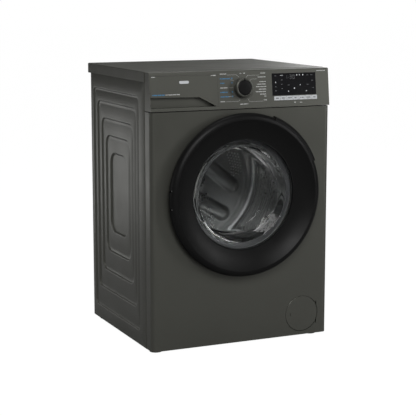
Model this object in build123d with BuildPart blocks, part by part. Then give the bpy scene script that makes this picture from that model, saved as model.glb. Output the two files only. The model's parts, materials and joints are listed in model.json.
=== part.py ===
from build123d import *
from math import cos, radians, sin, tan
import os

# Front load washing machine. Millimetres, +Z up, the front faces -Y, the origin lies on the floor under
# the centre of the machine. Depths are distances behind the outer face of the front panel.

# Driving dimensions
WIDTH = 600.0
HEIGHT = 850.0
DEPTH = 550.0  # front panel to the worktop's back edge
DOOR_PROUD = 40.0  # how far the door stands out in front of the front panel
FRONT = -(DEPTH - DOOR_PROUD) / 2  # y of the front panel's outer face
SHEET = 1.0
HALF = WIDTH / 2 - 2  # outer face of the side panels
FLOOR_GAP = 12.0  # underside of the base above the floor
BODY_TOP = 819.0
CORNER_R = 14.0  # front vertical edges of the cabinet
WRAP = 46.0  # how far the front panel and the control panel reach round the sides
SIDE_F0 = 46.6  # front edge of the side panels
BACK = 519.0  # inner face of the rear panel
AXIS_Z = 474.0  # height of the drum's axis and of the door's centre

PANEL_Z = 735.0
PANEL_TOP = 849.0
PANEL_SKIN = 2.5
LEAN = radians(6.5)  # how far the control panel's face leans back

DRUM_R = 240.0
MOUTH_R = 158.0
TUB_R, TUB_WALL = 252.0, 4.0
TUB_F0, TUB_SEAM, TUB_F1 = 60.0, 240.0, 425.0
TUB_MOUTH_R = 165.0
SHAFT_R = 12.5
BEARING_R = 26.0
MOTOR_Z, MOTOR_R = 128.0, 68.0
MOTOR_PULLEY_R, DRUM_PULLEY_R = 11.0, 140.0
BELT_F0, BELT_F1, BELT_T = 466.0, 482.0, 3.0
HANGER_X, HANGER_F, HANGER_Z = 255.0, 300.0, 790.0
LUG_Z = 580.0
DAMPER_X, DAMPER_LUG_Z = 170.0, 264.0
RUN = 0.05  # radial clearance of a running fit
CLEAR = 0.3  # clearance of curved faces that pass each other
SEAM = 0.4  # visible gap round a part that sits in an opening

PORT_R = 172.0  # opening in the front panel
DOOR_R, BULL_R = 250.0, 19.0
HINGE_X, HINGE_F = -236.0, -21.0
ARM_DZ, EAR_DZ, ARM_T = 28.0, 20.0, 4.0
PIN_R = 3.0
LATCH_DEG, LATCH_R, LATCH_F = 45.0, 212.0, -12.0
HANDLE_R0, HANDLE_R1, HANDLE_HALF_DEG = 240.6, 255.5, 22.5

DRAWER_X0, DRAWER_X1 = -295.6, -79.4
DRAWER_Z0, DRAWER_Z1 = 745.0, 837.6
DRAWER_BACK = 24.0
TRAY_F1, HOUSING_F1 = 240.0, 275.0

KNOB_X, KNOB_Z, KNOB_R = 2.0, 796.0, 29.0
WINDOW = (102.0, 253.0, 769.5, 836.5)
BUTTON_COUNT = 7
BUTTON_X0, BUTTON_PITCH = 117.6, 21.2
BUTTON_W, BUTTON_H, BUTTON_Z = 20.4, 12.4, 761.2
BUTTON_PROUD = 1.4

FILTER_X, FILTER_Z, FILTER_R = 209.0, 80.0, 56.0
FLAP_X, FLAP_F = 258.0, 1.5
FOOT_X, FOOT_F, FOOT_R = 266.0, (52.0, 494.0), 19.0
INLET_X, INLET_Z, INLET_R = -225.0, 765.0, 13.2
DRAIN_X, DRAIN_Z, DRAIN_R = 247.0, 700.0, 11.0
MAINS_X, MAINS_Z = 225.0, 770.0
TRANSIT_DX, TRANSIT_DZ, TRANSIT_R = 360.0, 260.0, 9.0

os.makedirs("parts", exist_ok=True)


# Shapes and planes that many pieces use
def save(builder, name):
    builder.part.label = name
    export_step(builder.part, f"parts/{name}.step")


def facing(depth):
    """The plane at this depth as seen from the front: x to the right, y up."""
    return Plane.XZ.offset(-(FRONT + depth))


def block(x0, x1, f0, f1, z0, z1, mode=Mode.ADD):
    """A box from its limits in x, depth and height."""
    with Locations(((x0 + x1) / 2, FRONT + (f0 + f1) / 2, (z0 + z1) / 2)):
        Box(x1 - x0, f1 - f0, z1 - z0, mode=mode)


def disc(x, z, radius, f0, f1, mode=Mode.ADD):
    """A round bar that runs front to back."""
    with BuildSketch(facing(f0)) as section:
        with Locations((x, z)):
            Circle(radius)
    extrude(section.sketch, amount=-(f1 - f0), mode=mode)


def post(x, depth, radius, z0, z1, mode=Mode.ADD):
    """A round bar that stands upright."""
    with BuildSketch(Plane.XY.offset(z0)) as section:
        with Locations((x, FRONT + depth)):
            Circle(radius)
    extrude(section.sketch, amount=z1 - z0, mode=mode)


def prism(plane, points, amount, mode=Mode.ADD):
    """A flat outline pushed through an amount."""
    with BuildSketch(plane) as section:
        with BuildLine():
            Polyline(*points, close=True)
        make_face()
    extrude(section.sketch, amount=amount, mode=mode)


def spun(points, x=0.0, z=AXIS_Z, mode=Mode.ADD):
    """An outline of (radius, depth) points turned about an axis that runs front to back."""
    with BuildSketch(Plane(origin=(x, FRONT, z), x_dir=(1, 0, 0), z_dir=(0, 0, 1))) as section:
        with BuildLine():
            Polyline(*points, close=True)
        make_face()
    revolve(section.sketch, axis=Axis((x, FRONT, z), (0, 1, 0)), mode=mode)


# Side panels: a sheet with four return flanges and nested pressed steps
RINGS = (  # depth from, depth to, bottom, top, corner radius
    (94.0, 497.0, 54.0, 777.0, 20.0),
    (122.0, 466.0, 121.0, 738.0, 24.0),
    (151.0, 433.0, 185.0, 685.0, 30.0),
    (181.0, 400.0, 252.0, 632.0, 36.0),
    (211.0, 366.0, 320.0, 579.0, 42.0),
)
STEP_IN, STEP_RUN = 2.0, 4.0
FLANGE = 12.0


def ring_outline(x, ring, shrink):
    f0, f1, z0, z1, radius = ring
    with BuildSketch(Plane.YZ.offset(x)) as outline:
        with Locations((FRONT + (f0 + f1) / 2, (z0 + z1) / 2)):
            RectangleRounded(f1 - f0 - 2 * shrink, z1 - z0 - 2 * shrink, radius - shrink)
    return outline.sketch


def pressed_slab(outer_x, thick):
    """A slab whose outer face carries the pressed steps."""
    with BuildPart() as slab:
        block(outer_x - thick, outer_x, SIDE_F0, BACK, FLOOR_GAP, BODY_TOP)
        for level, ring in enumerate(RINGS):
            face_x = outer_x - level * STEP_IN
            top = ring_outline(face_x, ring, 0.0)
            bottom = ring_outline(face_x - STEP_IN, ring, STEP_RUN)
            loft([top, bottom], ruled=True, mode=Mode.SUBTRACT)
    return slab.part


outside = pressed_slab(HALF, 12.0)
inside = pressed_slab(HALF - SHEET, 15.0)
INNER_X = HALF - SHEET

with BuildPart() as side_panel_right:
    add(outside)
    add(inside, mode=Mode.SUBTRACT)
    block(INNER_X - FLANGE, INNER_X, SIDE_F0, SIDE_F0 + SHEET, 50, 730)
    block(INNER_X - FLANGE, INNER_X, BACK - SHEET, BACK, 50, BODY_TOP)
    block(INNER_X - FLANGE, INNER_X, SIDE_F0, BACK, BODY_TOP - SHEET, BODY_TOP)
save(side_panel_right, "side_panel_right")

with BuildPart() as side_panel_left:
    mirror(side_panel_right.part, about=Plane.YZ)
save(side_panel_left, "side_panel_left")


# Front panel: one sheet that wraps round both front corners
FRONT_TOP = 732.5
LATCH_PLANE = Plane(
    origin=(0, FRONT, AXIS_Z),
    x_dir=(cos(radians(LATCH_DEG)), 0, sin(radians(LATCH_DEG))),
    z_dir=(-sin(radians(LATCH_DEG)), 0, cos(radians(LATCH_DEG))),
)  # x is the radius from the door's centre towards the latch and y is the depth


def radial_block(r0, r1, f0, f1, half_width, mode=Mode.ADD):
    """A box at the latch, from its limits in radius and depth."""
    corners = [(r0, f0), (r1, f0), (r1, f1), (r0, f1)]
    prism(LATCH_PLANE.offset(-half_width), corners, 2 * half_width, mode)


def wrap_section(inset):
    """Plan of the front panel with its skin moved in by inset."""
    side = HALF - inset
    radius = CORNER_R - inset
    with BuildSketch(Plane.XY.offset(FLOOR_GAP)) as plan:
        with BuildLine():
            Line((-side, FRONT + WRAP), (-side, FRONT + CORNER_R))
            RadiusArc((-side, FRONT + CORNER_R), (-side + radius, FRONT + inset), -radius)
            Line((-side + radius, FRONT + inset), (side - radius, FRONT + inset))
            RadiusArc((side - radius, FRONT + inset), (side, FRONT + CORNER_R), -radius)
            Line((side, FRONT + CORNER_R), (side, FRONT + WRAP))
            Line((side, FRONT + WRAP), (-side, FRONT + WRAP))
        make_face()
    return plan.sketch


with BuildPart() as front_panel:
    extrude(wrap_section(0.0), amount=FRONT_TOP - FLOOR_GAP)
    extrude(wrap_section(SHEET), amount=FRONT_TOP - FLOOR_GAP, mode=Mode.SUBTRACT)
    block(-HALF + 16, HALF - 16, SHEET, 18, FRONT_TOP - SHEET, FRONT_TOP)
    disc(0, AXIS_Z, PORT_R + SHEET, 0, 14)
    disc(0, AXIS_Z, PORT_R, -1, 15, Mode.SUBTRACT)
    disc(FILTER_X, FILTER_Z, FILTER_R + 1, -1, 3, Mode.SUBTRACT)
    for side in (-1, 1):
        arm_z = AXIS_Z + side * ARM_DZ
        block(-221, -190, -1, 3, arm_z - ARM_T / 2 - 1, arm_z + ARM_T / 2 + 1, Mode.SUBTRACT)
        clip_z = FILTER_Z + side * 34.75
        notch_z = FILTER_Z + side * 29.5
        block(FLAP_X - 2.5, FLAP_X + 3.5, -1, 1.2, notch_z - 7.5, notch_z + 7.5, Mode.SUBTRACT)
        block(FLAP_X - 3, FLAP_X + 8, 1.2, 4.2, clip_z - 1.75, clip_z + 1.75)
        block(FLAP_X + 4, FLAP_X + 8, SHEET, 4.2, clip_z - 1.75, clip_z + 1.75)
        post(FLAP_X, FLAP_F, 1.0 + RUN, clip_z - 3, clip_z + 3, Mode.SUBTRACT)
    radial_block(LATCH_R - 14, LATCH_R + 14, -2, 3, 5, Mode.SUBTRACT)
save(front_panel, "front_panel")


# Rear panel: a flat sheet with a raised round pan behind the pulley, ribs and the service openings
PAN_R, PAN_OUT = 185.0, 12.0
SCREW_POINTS = [(x, z) for x in (-280.0, 280.0) for z in (60.0, 300.0, 540.0, 790.0)]
with BuildPart() as rear_panel:
    block(-INNER_X, INNER_X, BACK, BACK + SHEET, FLOOR_GAP, BODY_TOP)
    pan = [(0, 0), (PAN_R, 0), (PAN_R - 15, PAN_OUT), (0, PAN_OUT)]
    spun([(r, BACK + f) for r, f in pan])
    hollow = [
        (0, -1), (PAN_R - 1.4, -1), (PAN_R - 1.4, 0), (PAN_R - 15.6, PAN_OUT - SHEET), (0, PAN_OUT - SHEET),
    ]
    spun([(r, BACK + f) for r, f in hollow], mode=Mode.SUBTRACT)
    for rib_z in (100.0, 150.0, 200.0, 700.0):
        block(-170, 170, BACK, BACK + 4, rib_z - 8, rib_z + 8)
        block(-169, 169, BACK - 1, BACK + 3, rib_z - 7, rib_z + 7, Mode.SUBTRACT)
    disc(INLET_X, INLET_Z, INLET_R, BACK - 1, BACK + 2, Mode.SUBTRACT)
    disc(DRAIN_X, DRAIN_Z, DRAIN_R, BACK - 1, BACK + 2, Mode.SUBTRACT)
    disc(MAINS_X, MAINS_Z, 11, BACK - 1, BACK + 2, Mode.SUBTRACT)
    for x in (-TRANSIT_DX / 2, TRANSIT_DX / 2):
        for dz in (-TRANSIT_DZ / 2, TRANSIT_DZ / 2):
            disc(x, AXIS_Z + dz, TRANSIT_R, BACK - 1, BACK + 2, Mode.SUBTRACT)
    for x, z in SCREW_POINTS:
        disc(x, z, 2.0, BACK - 1, BACK + 2, Mode.SUBTRACT)
save(rear_panel, "rear_panel")

SCREW_HEAD = [(0, 0), (4.5, 0), (4.5, 1), (3, 2.4), (0, 2.4)]
with BuildPart() as cabinet_screws:
    for x, z in SCREW_POINTS:
        disc(x, z, 2.0, BACK - 6, BACK + SHEET)
        spun([(r, BACK + SHEET + f) for r, f in SCREW_HEAD], x, z)
        block(x - 2.6, x + 2.6, BACK + 2.3, BACK + 4, z - 0.5, z + 0.5, Mode.SUBTRACT)
        block(x - 0.5, x + 0.5, BACK + 2.3, BACK + 4, z - 2.6, z + 2.6, Mode.SUBTRACT)
save(cabinet_screws, "cabinet_screws")


# Base tray: a shallow pan with ribs, four foot sockets and two damper seats
TRAY_LIP = 10.0
with BuildPart() as base_tray:
    with BuildSketch(Plane.XY.offset(FLOOR_GAP)):
        with Locations((0, FRONT + (SHEET + BACK) / 2)):
            RectangleRounded(2 * INNER_X, BACK - SHEET, CORNER_R + 2)
    extrude(amount=TRAY_LIP)
    with BuildSketch(Plane.XY.offset(FLOOR_GAP + 3)):
        with Locations((0, FRONT + (SHEET + BACK) / 2)):
            RectangleRounded(2 * INNER_X - 6, BACK - SHEET - 6, CORNER_R)
    extrude(amount=TRAY_LIP, mode=Mode.SUBTRACT)
    for x in (-FOOT_X, FOOT_X):
        for depth in FOOT_F:
            post(x, depth, 17, FLOOR_GAP, FLOOR_GAP + 28)
    for x in (-DAMPER_X, DAMPER_X):
        block(x - 18, x + 18, HANGER_F - 16, HANGER_F + 16, FLOOR_GAP + 2, 30)
    for depth in (150.0, 220.0, 400.0):
        block(-290, 290, depth - 1.5, depth + 1.5, FLOOR_GAP + 2, 26)
    for x in (-90.0, 90.0):
        block(x - 1.5, x + 1.5, 5, BACK - 4, FLOOR_GAP + 2, 26)
    for x in (-FOOT_X, FOOT_X):
        for depth in FOOT_F:
            post(x, depth, 5 + RUN, FLOOR_GAP - 1, FLOOR_GAP + 30, Mode.SUBTRACT)
save(base_tray, "base_tray")

FEET = {
    "foot_front_left": (-FOOT_X, FOOT_F[0]),
    "foot_front_right": (FOOT_X, FOOT_F[0]),
    "foot_rear_left": (-FOOT_X, FOOT_F[1]),
    "foot_rear_right": (FOOT_X, FOOT_F[1]),
}
for name, (x, depth) in FEET.items():
    with BuildPart() as foot:
        post(x, depth, FOOT_R, 0, 4.5)
        post(x, depth, 13, 4.5, 7)
        with BuildSketch(Plane.XY.offset(7)):
            with Locations((x, FRONT + depth)):
                RegularPolygon(9.5, 6)
        extrude(amount=FLOOR_GAP - 7)
        post(x, depth, 5.0, FLOOR_GAP, FLOOR_GAP + 34)
    save(foot, name)


# Cross braces: a bar under the control panel and a channel that carries the two springs
with BuildPart() as cross_braces:
    block(-HALF + 3, HALF - 3, 20, 44, 726, FRONT_TOP - SHEET)
    block(-INNER_X, INNER_X, HANGER_F - 15, HANGER_F + 15, HANGER_Z, HANGER_Z + 22)
    channel_z = (HANGER_Z + 2, HANGER_Z + 23)
    block(-INNER_X - 1, INNER_X + 1, HANGER_F - 13, HANGER_F + 13, *channel_z, Mode.SUBTRACT)
    for x in (-HANGER_X, HANGER_X):
        post(x, HANGER_F, 2.2, HANGER_Z - 1, HANGER_Z + 3, Mode.SUBTRACT)
save(cross_braces, "cross_braces")


# Worktop: a hollow lid with a rim that sits on the side panels
with BuildPart() as worktop:
    with BuildSketch(Plane.XY.offset(BODY_TOP)):
        with Locations((0, FRONT + (WRAP + SEAM + DEPTH) / 2)):
            Rectangle(WIDTH, DEPTH - WRAP - SEAM)
    extrude(amount=HEIGHT - BODY_TOP)
    rear_corners = worktop.edges().filter_by(Axis.Z).group_by(Axis.Y)[-1]
    fillet(rear_corners, 10)
    top_edges = worktop.faces().sort_by(Axis.Z)[-1].edges()
    fillet(top_edges, 3)
    block(-HALF + 1, HALF - 1, WRAP + 4, DEPTH - 3, BODY_TOP - 1, HEIGHT - 12, Mode.SUBTRACT)
save(worktop, "worktop")


# Control panel: a hollow fascia that leans back, open at the rear
def panel_depth(z):
    return (z - PANEL_Z) * tan(LEAN)


def up_face(z):
    """Distance up the leaning face that reaches this height."""
    return (z - PANEL_Z) / cos(LEAN)


FASCIA = Plane(origin=(0, FRONT, PANEL_Z), x_dir=(1, 0, 0), z_dir=(0, -cos(LEAN), sin(LEAN)))


def fascia_box(x0, x1, z0, z1, out0, out1, mode=Mode.ADD):
    """A box square to the leaning face, from out0 to out1 in front of it."""
    corners = [(x0, up_face(z0)), (x1, up_face(z0)), (x1, up_face(z1)), (x0, up_face(z1))]
    prism(FASCIA.offset(out0), corners, out1 - out0, mode)


def fascia_disc(x, z, radius, out0, out1, mode=Mode.ADD):
    with BuildSketch(FASCIA.offset(out0)) as section:
        with Locations((x, up_face(z))):
            Circle(radius)
    extrude(section.sketch, amount=out1 - out0, mode=mode)


def side_profile(inset, rear):
    """Outline of the control panel seen from the side, as (y, z)."""
    low, high = PANEL_Z + inset, PANEL_TOP - inset
    return [
        (FRONT + panel_depth(low) + inset, low),
        (FRONT + rear, low),
        (FRONT + rear, high),
        (FRONT + panel_depth(high) + inset, high),
    ]


BUTTON_ROW_X1 = BUTTON_X0 + (BUTTON_COUNT - 1) * BUTTON_PITCH
with BuildPart() as control_panel:
    prism(Plane.YZ.offset(-HALF), side_profile(0, WRAP), 2 * HALF)
    top_front = control_panel.edges().filter_by(Axis.X).group_by(Axis.Z)[-1].sort_by(Axis.Y)[0]
    fillet(top_front, 5)
    prism(Plane.YZ.offset(-HALF + 2), side_profile(PANEL_SKIN, WRAP + 1), 2 * HALF - 4, Mode.SUBTRACT)
    block(DRAWER_X0 - SEAM, DRAWER_X1 + SEAM, -1, 20, DRAWER_Z0 - SEAM, DRAWER_Z1 + SEAM, Mode.SUBTRACT)
    block(DRAWER_X0 - SEAM, DRAWER_X1 + SEAM, 2, DRAWER_BACK, DRAWER_Z0 - SEAM - PANEL_SKIN, DRAWER_Z0 - SEAM)
    fascia_disc(KNOB_X, KNOB_Z, 3.5, -6, 2, Mode.SUBTRACT)
    fascia_box(*WINDOW, -6, 2, Mode.SUBTRACT)
    fascia_box(
        BUTTON_X0 - BUTTON_W / 2 - SEAM, BUTTON_ROW_X1 + BUTTON_W / 2 + SEAM,
        BUTTON_Z - BUTTON_H / 2 - SEAM, BUTTON_Z + BUTTON_H / 2 + SEAM, -6, 2, Mode.SUBTRACT,
    )
save(control_panel, "control_panel")

with BuildPart() as display_window:
    fascia_box(*WINDOW, -3, 0)
save(display_window, "display_window")

BOARD_OUT = -9.0
with BuildPart() as control_board:
    fascia_box(-55, 262, 748, 842, BOARD_OUT - 1.6, BOARD_OUT)
    fascia_box(WINDOW[0] + 4, WINDOW[1] - 4, WINDOW[2] + 4, WINDOW[3] - 4, BOARD_OUT, -3)
    fascia_box(KNOB_X - 9, KNOB_X + 9, KNOB_Z - 9, KNOB_Z + 9, BOARD_OUT, -4)
    fascia_disc(KNOB_X, KNOB_Z, 3.0 + RUN, BOARD_OUT + 1, 0, Mode.SUBTRACT)
    for number in range(BUTTON_COUNT):
        switch_x = BUTTON_X0 + number * BUTTON_PITCH
        fascia_box(switch_x - 3, switch_x + 3, BUTTON_Z - 3, BUTTON_Z + 3, BOARD_OUT, -5.4)
    fascia_box(20, 80, 752, 770, BOARD_OUT - 14, BOARD_OUT - 1.6)
save(control_board, "control_board")

with BuildPart() as program_knob:
    knob_plane = Plane(
        origin=FASCIA.from_local_coords((KNOB_X, up_face(KNOB_Z), 0)),
        x_dir=(1, 0, 0),
        z_dir=FASCIA.y_dir * -1,
    )
    with BuildSketch(knob_plane):
        with BuildLine():
            Polyline(
                (0, 0.6), (KNOB_R, 0.6), (KNOB_R, 4), (KNOB_R - 1.2, 17), (KNOB_R - 3, 18.5),
                (22.5, 18.5), (21.5, 17.3), (0, 17.3), close=True,
            )
        make_face()
    revolve(axis=Axis(knob_plane.origin, FASCIA.z_dir))
    fascia_disc(KNOB_X, KNOB_Z, 3.0, BOARD_OUT + 1.4, 1)
save(program_knob, "program_knob")

for number in range(BUTTON_COUNT):
    cap_x = BUTTON_X0 + number * BUTTON_PITCH
    with BuildPart() as button:
        fascia_box(
            cap_x - BUTTON_W / 2, cap_x + BUTTON_W / 2,
            BUTTON_Z - BUTTON_H / 2, BUTTON_Z + BUTTON_H / 2, -2.6, BUTTON_PROUD,
        )
        fillet(button.faces().sort_by(Axis.Y)[0].edges(), 0.6)
        fascia_box(
            cap_x - BUTTON_W / 2, cap_x + BUTTON_W / 2,
            BUTTON_Z - BUTTON_H / 2 - 1.6, BUTTON_Z + BUTTON_H / 2 + 1.6, -3.8, -2.6,
        )
    save(button, f"button_{number + 1}")


# Detergent drawer: a front with a scooped grip, a tray of three compartments and its housing
with BuildPart() as drawer_front:
    face = [
        (FRONT + panel_depth(DRAWER_Z0), DRAWER_Z0),
        (FRONT + DRAWER_BACK, DRAWER_Z0),
        (FRONT + DRAWER_BACK, DRAWER_Z1),
        (FRONT + panel_depth(DRAWER_Z1), DRAWER_Z1),
    ]
    prism(Plane.YZ.offset(DRAWER_X0), face, DRAWER_X1 - DRAWER_X0)
    scoop = [(-297, 744), (-297, 776.5), (-140, 773.5), (-84, 744)]
    prism(facing(-1), scoop, -18, Mode.SUBTRACT)
    finger_pocket = [(-290, 765), (-290, 787), (-152, 784), (-130, 765)]
    prism(facing(7), finger_pocket, -10, Mode.SUBTRACT)
save(drawer_front, "drawer_front")

TRAY_X0, TRAY_X1 = -289.0, -85.0
DIVIDERS = (TRAY_X0, -216.0, -146.0, TRAY_X1)
with BuildPart() as drawer_tray:
    block(TRAY_X0, TRAY_X1, DRAWER_BACK, TRAY_F1, 746, 806)
    for left, right in zip(DIVIDERS, DIVIDERS[1:]):
        block(left + 1.5, right - 1.5, DRAWER_BACK + 2, TRAY_F1 - 2, 748, 807, Mode.SUBTRACT)
save(drawer_tray, "drawer_tray")

FILL_X, FILL_F = -190.0, 200.0
VALVE_F = 470.0
with BuildPart() as drawer_housing:
    block(-292, -82, DRAWER_BACK + 1, HOUSING_F1, 743.5, 818)
    block(-290, -84, DRAWER_BACK, HOUSING_F1 - 2, 745.5, 816, Mode.SUBTRACT)
    post(FILL_X, FILL_F, 17, 724, 744)
    post(FILL_X, FILL_F, 14, 723, 746, Mode.SUBTRACT)
    disc(INLET_X, 775, 8, HOUSING_F1 - 1, VALVE_F)
    disc(INLET_X, 775, 5.5, HOUSING_F1 - 3, VALVE_F + 1, Mode.SUBTRACT)
save(drawer_housing, "drawer_housing")

with BuildPart() as inlet_valve:
    block(-243, -207, VALVE_F, BACK - 1, 748, 786)
    disc(INLET_X, INLET_Z, 17, BACK - 3, BACK)
    disc(INLET_X, INLET_Z, INLET_R, BACK - 3, BACK + 27)
    disc(INLET_X, INLET_Z, 17, BACK + SHEET, BACK + 4)
    disc(INLET_X, INLET_Z, 8, BACK - 20, BACK + 28, Mode.SUBTRACT)
    post(INLET_X, 492, 12, 786, 808)
save(inlet_valve, "inlet_valve")

with BuildPart() as mains_inlet:
    disc(MAINS_X, MAINS_Z, 11, BACK - 8, BACK + SHEET)
    disc(MAINS_X, MAINS_Z, 15, BACK + SHEET, BACK + 6)
    disc(MAINS_X, MAINS_Z, 15, BACK - 10, BACK)
    disc(MAINS_X, MAINS_Z, 4.5, BACK - 12, BACK + 8, Mode.SUBTRACT)
save(mains_inlet, "mains_inlet")


# Door: a dished ring with a bull-nosed edge, a rear frame, a deep glass bowl and a steel hinge arm
BULL_C = (DOOR_R - BULL_R, -21.0)
RING_SKIN = 3.0
LIP_R = 168.3  # inner edge of the ring, which holds the rim of the glass
GLASS_R = 171.0


def bull_point(radius, angle):
    return (BULL_C[0] + radius * cos(radians(angle)), BULL_C[1] + radius * sin(radians(angle)))


def in_plan(points):
    """Points relative to the door's hinge axis, as x and y."""
    return [(HINGE_X + dx, FRONT + HINGE_F + dy) for dx, dy in points]


def wedge(half_angle, radius):
    """A sector about the latch direction, as x and z."""
    rim = [
        (radius * cos(radians(a)), AXIS_Z + radius * sin(radians(a)))
        for a in (LATCH_DEG - half_angle, LATCH_DEG, LATCH_DEG + half_angle)
    ]
    return [(0, AXIS_Z), *rim]


ARM_SWEEP = in_plan([(-18, -12), (4, -10), (46, 15), (46, 24), (-18, 24)])
INNER_BULL = BULL_R - RING_SKIN
with BuildPart() as door_ring:
    with BuildSketch(Plane(origin=(0, FRONT, AXIS_Z), x_dir=(1, 0, 0), z_dir=(0, 0, 1))):
        with BuildLine():
            Line((LIP_R, -12.7), (171, -12.5))
            ThreePointArc((171, -12.5), (203, -23.5), bull_point(BULL_R, -90))
            ThreePointArc(bull_point(BULL_R, -90), bull_point(BULL_R, 0), bull_point(BULL_R, 78))
            Line(bull_point(BULL_R, 78), bull_point(INNER_BULL, 78))
            ThreePointArc(bull_point(INNER_BULL, 78), bull_point(INNER_BULL, 0), bull_point(INNER_BULL, -90))
            ThreePointArc(bull_point(INNER_BULL, -90), (203, -20.3), (173, -9.4))
            Line((173, -9.4), (173, -8))
            Line((173, -8), (LIP_R, -8))
            Line((LIP_R, -8), (LIP_R, -12.7))
        make_face()
    revolve(axis=Axis((0, FRONT, AXIS_Z), (0, 1, 0)))
    with BuildPart(mode=Mode.PRIVATE) as handle_pocket:
        prism(facing(-50), wedge(HANDLE_HALF_DEG + 0.3, 300), -60)
        disc(0, AXIS_Z, HANDLE_R0 - SEAM, -60, 20, Mode.SUBTRACT)
    add(handle_pocket.part, mode=Mode.SUBTRACT)
    for side in (-1, 1):
        arm_z = AXIS_Z + side * ARM_DZ - ARM_T / 2 - 1.2
        prism(Plane.XY.offset(arm_z), ARM_SWEEP, ARM_T + 2.4, Mode.SUBTRACT)
save(door_ring, "door_ring")

CHEEK = [(208, -15.5), (216, -15.5), (216, -4), (208, -4)]
with BuildPart() as door_frame:
    spun([
        (166.5, -4), (GLASS_R + CLEAR, -4), (GLASS_R + CLEAR, -8), (173, -8), (173, -4), (233.5, -4),
        (233.5, -1.4), (166.5, -1.4),
    ])
    prism(LATCH_PLANE.offset(2.2), CHEEK, 3)
    prism(LATCH_PLANE.offset(-5.2), CHEEK, 3)
    radial_block(LATCH_R - 12, LATCH_R + 10, -4.1, 0, 2.2, Mode.SUBTRACT)
    with BuildSketch(LATCH_PLANE.offset(-6)):
        with Locations((LATCH_R, LATCH_F)):
            Circle(1.5 + RUN)
    extrude(amount=12, mode=Mode.SUBTRACT)
    for side in (-1, 1):
        arm_z = AXIS_Z + side * ARM_DZ - ARM_T / 2 - 1.2
        prism(Plane.XY.offset(arm_z), ARM_SWEEP, ARM_T + 2.4, Mode.SUBTRACT)
save(door_frame, "door_frame")

with BuildPart() as door_glass:
    spun([
        (GLASS_R, -8), (GLASS_R, -4), (155, -4), (150, -1), (149, 50), (136, 95), (124, 103.5), (0, 105),
        (0, 101), (122, 99.5), (132.5, 92.5), (145, 49), (146, -2), (147, -8),
    ])
save(door_glass, "door_glass")


def hinge_lug(radius, x0, x1, f0, f1, z0):
    """A flat lug from the hinge axis to a pad, at one height."""
    with BuildSketch(Plane.XY.offset(z0)) as plan:
        with Locations((HINGE_X, FRONT + HINGE_F)):
            Circle(radius)
        with Locations(((x0 + x1) / 2, FRONT + (f0 + f1) / 2)):
            Rectangle(x1 - x0, f1 - f0)
        make_hull()
    extrude(plan.sketch, amount=ARM_T)


with BuildPart() as hinge_arm:
    block(-226, -198, -7, -4, AXIS_Z - 24, AXIS_Z + 24)
    for side in (-1, 1):
        hinge_lug(7, -226, -198, -7, -4, AXIS_Z + side * EAR_DZ - ARM_T / 2)
    post(HINGE_X, HINGE_F, PIN_R + RUN, AXIS_Z - 40, AXIS_Z + 40, Mode.SUBTRACT)
save(hinge_arm, "hinge_arm")

with BuildPart() as hinge_bracket:
    block(-224, -182, SHEET, 4, AXIS_Z - 50, AXIS_Z + 50)
    for side in (-1, 1):
        hinge_lug(6.5, -214, -193, 0, 4, AXIS_Z + side * ARM_DZ - ARM_T / 2)
    post(HINGE_X, HINGE_F, PIN_R, AXIS_Z - 33, AXIS_Z + 33)
save(hinge_bracket, "hinge_bracket")

with BuildPart() as door_handle:
    spun([
        (HANDLE_R0, -36.5), (246, -36), (251, -32.5), (254.5, -27),
        (HANDLE_R1, -20), (254.5, -13), (250, -8), (HANDLE_R0, -6),
    ])
    prism(facing(-50), wedge(HANDLE_HALF_DEG, 300), -60, Mode.INTERSECT)
save(door_handle, "door_handle")

with BuildPart() as door_latch:
    radial_block(206, 215, -17, 18, 1.6)
    radial_block(215, 218.5, 12, 18, 1.6)
    with BuildSketch(LATCH_PLANE.offset(-5.2)):
        with Locations((LATCH_R, LATCH_F)):
            Circle(1.5)
    extrude(amount=10.4)
save(door_latch, "door_latch")

with BuildPart() as door_lock:
    radial_block(196, 236, SHEET, 27, 13)
    radial_block(LATCH_R - 14, LATCH_R + 14, 0, 24, 5, Mode.SUBTRACT)
save(door_lock, "door_lock")


# Filter flap, drain pump and its screw-in filter
with BuildPart() as filter_cover:
    disc(FILTER_X, FILTER_Z, FILTER_R, 0, 3)
    chamfer(filter_cover.faces().sort_by(Axis.Y)[0].edges(), 1.0)
    for z0 in (FILTER_Z - 36.2, FILTER_Z + 20):
        post(FLAP_X, FLAP_F, 1.0, z0, z0 + 16.2)
    block(FILTER_X - 43, FILTER_X - 38, -1, 1.5, FILTER_Z - 3.5, FILTER_Z + 3.5, Mode.SUBTRACT)
save(filter_cover, "filter_cover")

SUMP_X, SUMP_F = 130.0, 95.0
FILTER_BORE = 27.0
with BuildPart() as pump_body:
    disc(FILTER_X, FILTER_Z, 34, 14, 100)
    disc(FILTER_X, FILTER_Z, 22, 100, 145)
    block(112, 200, SUMP_F - 20, SUMP_F + 5, 62, 98)
    post(SUMP_X, SUMP_F, 17, 62, 124)
    post(SUMP_X, SUMP_F, 14, 70, 125, Mode.SUBTRACT)
    block(225, 260, 70, 100, 68, 92)
    block(195, 223, 40, 90, FLOOR_GAP + 3, 60)
    disc(FILTER_X, FILTER_Z, FILTER_BORE, 13, 92, Mode.SUBTRACT)
save(pump_body, "pump_body")

with BuildPart() as pump_filter:
    disc(FILTER_X, FILTER_Z, FILTER_BORE - RUN, 12, 40)
    block(FILTER_X - 3, FILTER_X + 3, 5, 12, FILTER_Z - 20, FILTER_Z + 20)
    disc(FILTER_X, FILTER_Z, 21, 40, 86)
    disc(FILTER_X, FILTER_Z, 18, 44, 87, Mode.SUBTRACT)
    for z in (FILTER_Z - 10, FILTER_Z, FILTER_Z + 10):
        block(FILTER_X - 30, FILTER_X + 30, 48, 82, z - 3, z + 3, Mode.SUBTRACT)
save(pump_filter, "pump_filter")

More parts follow.
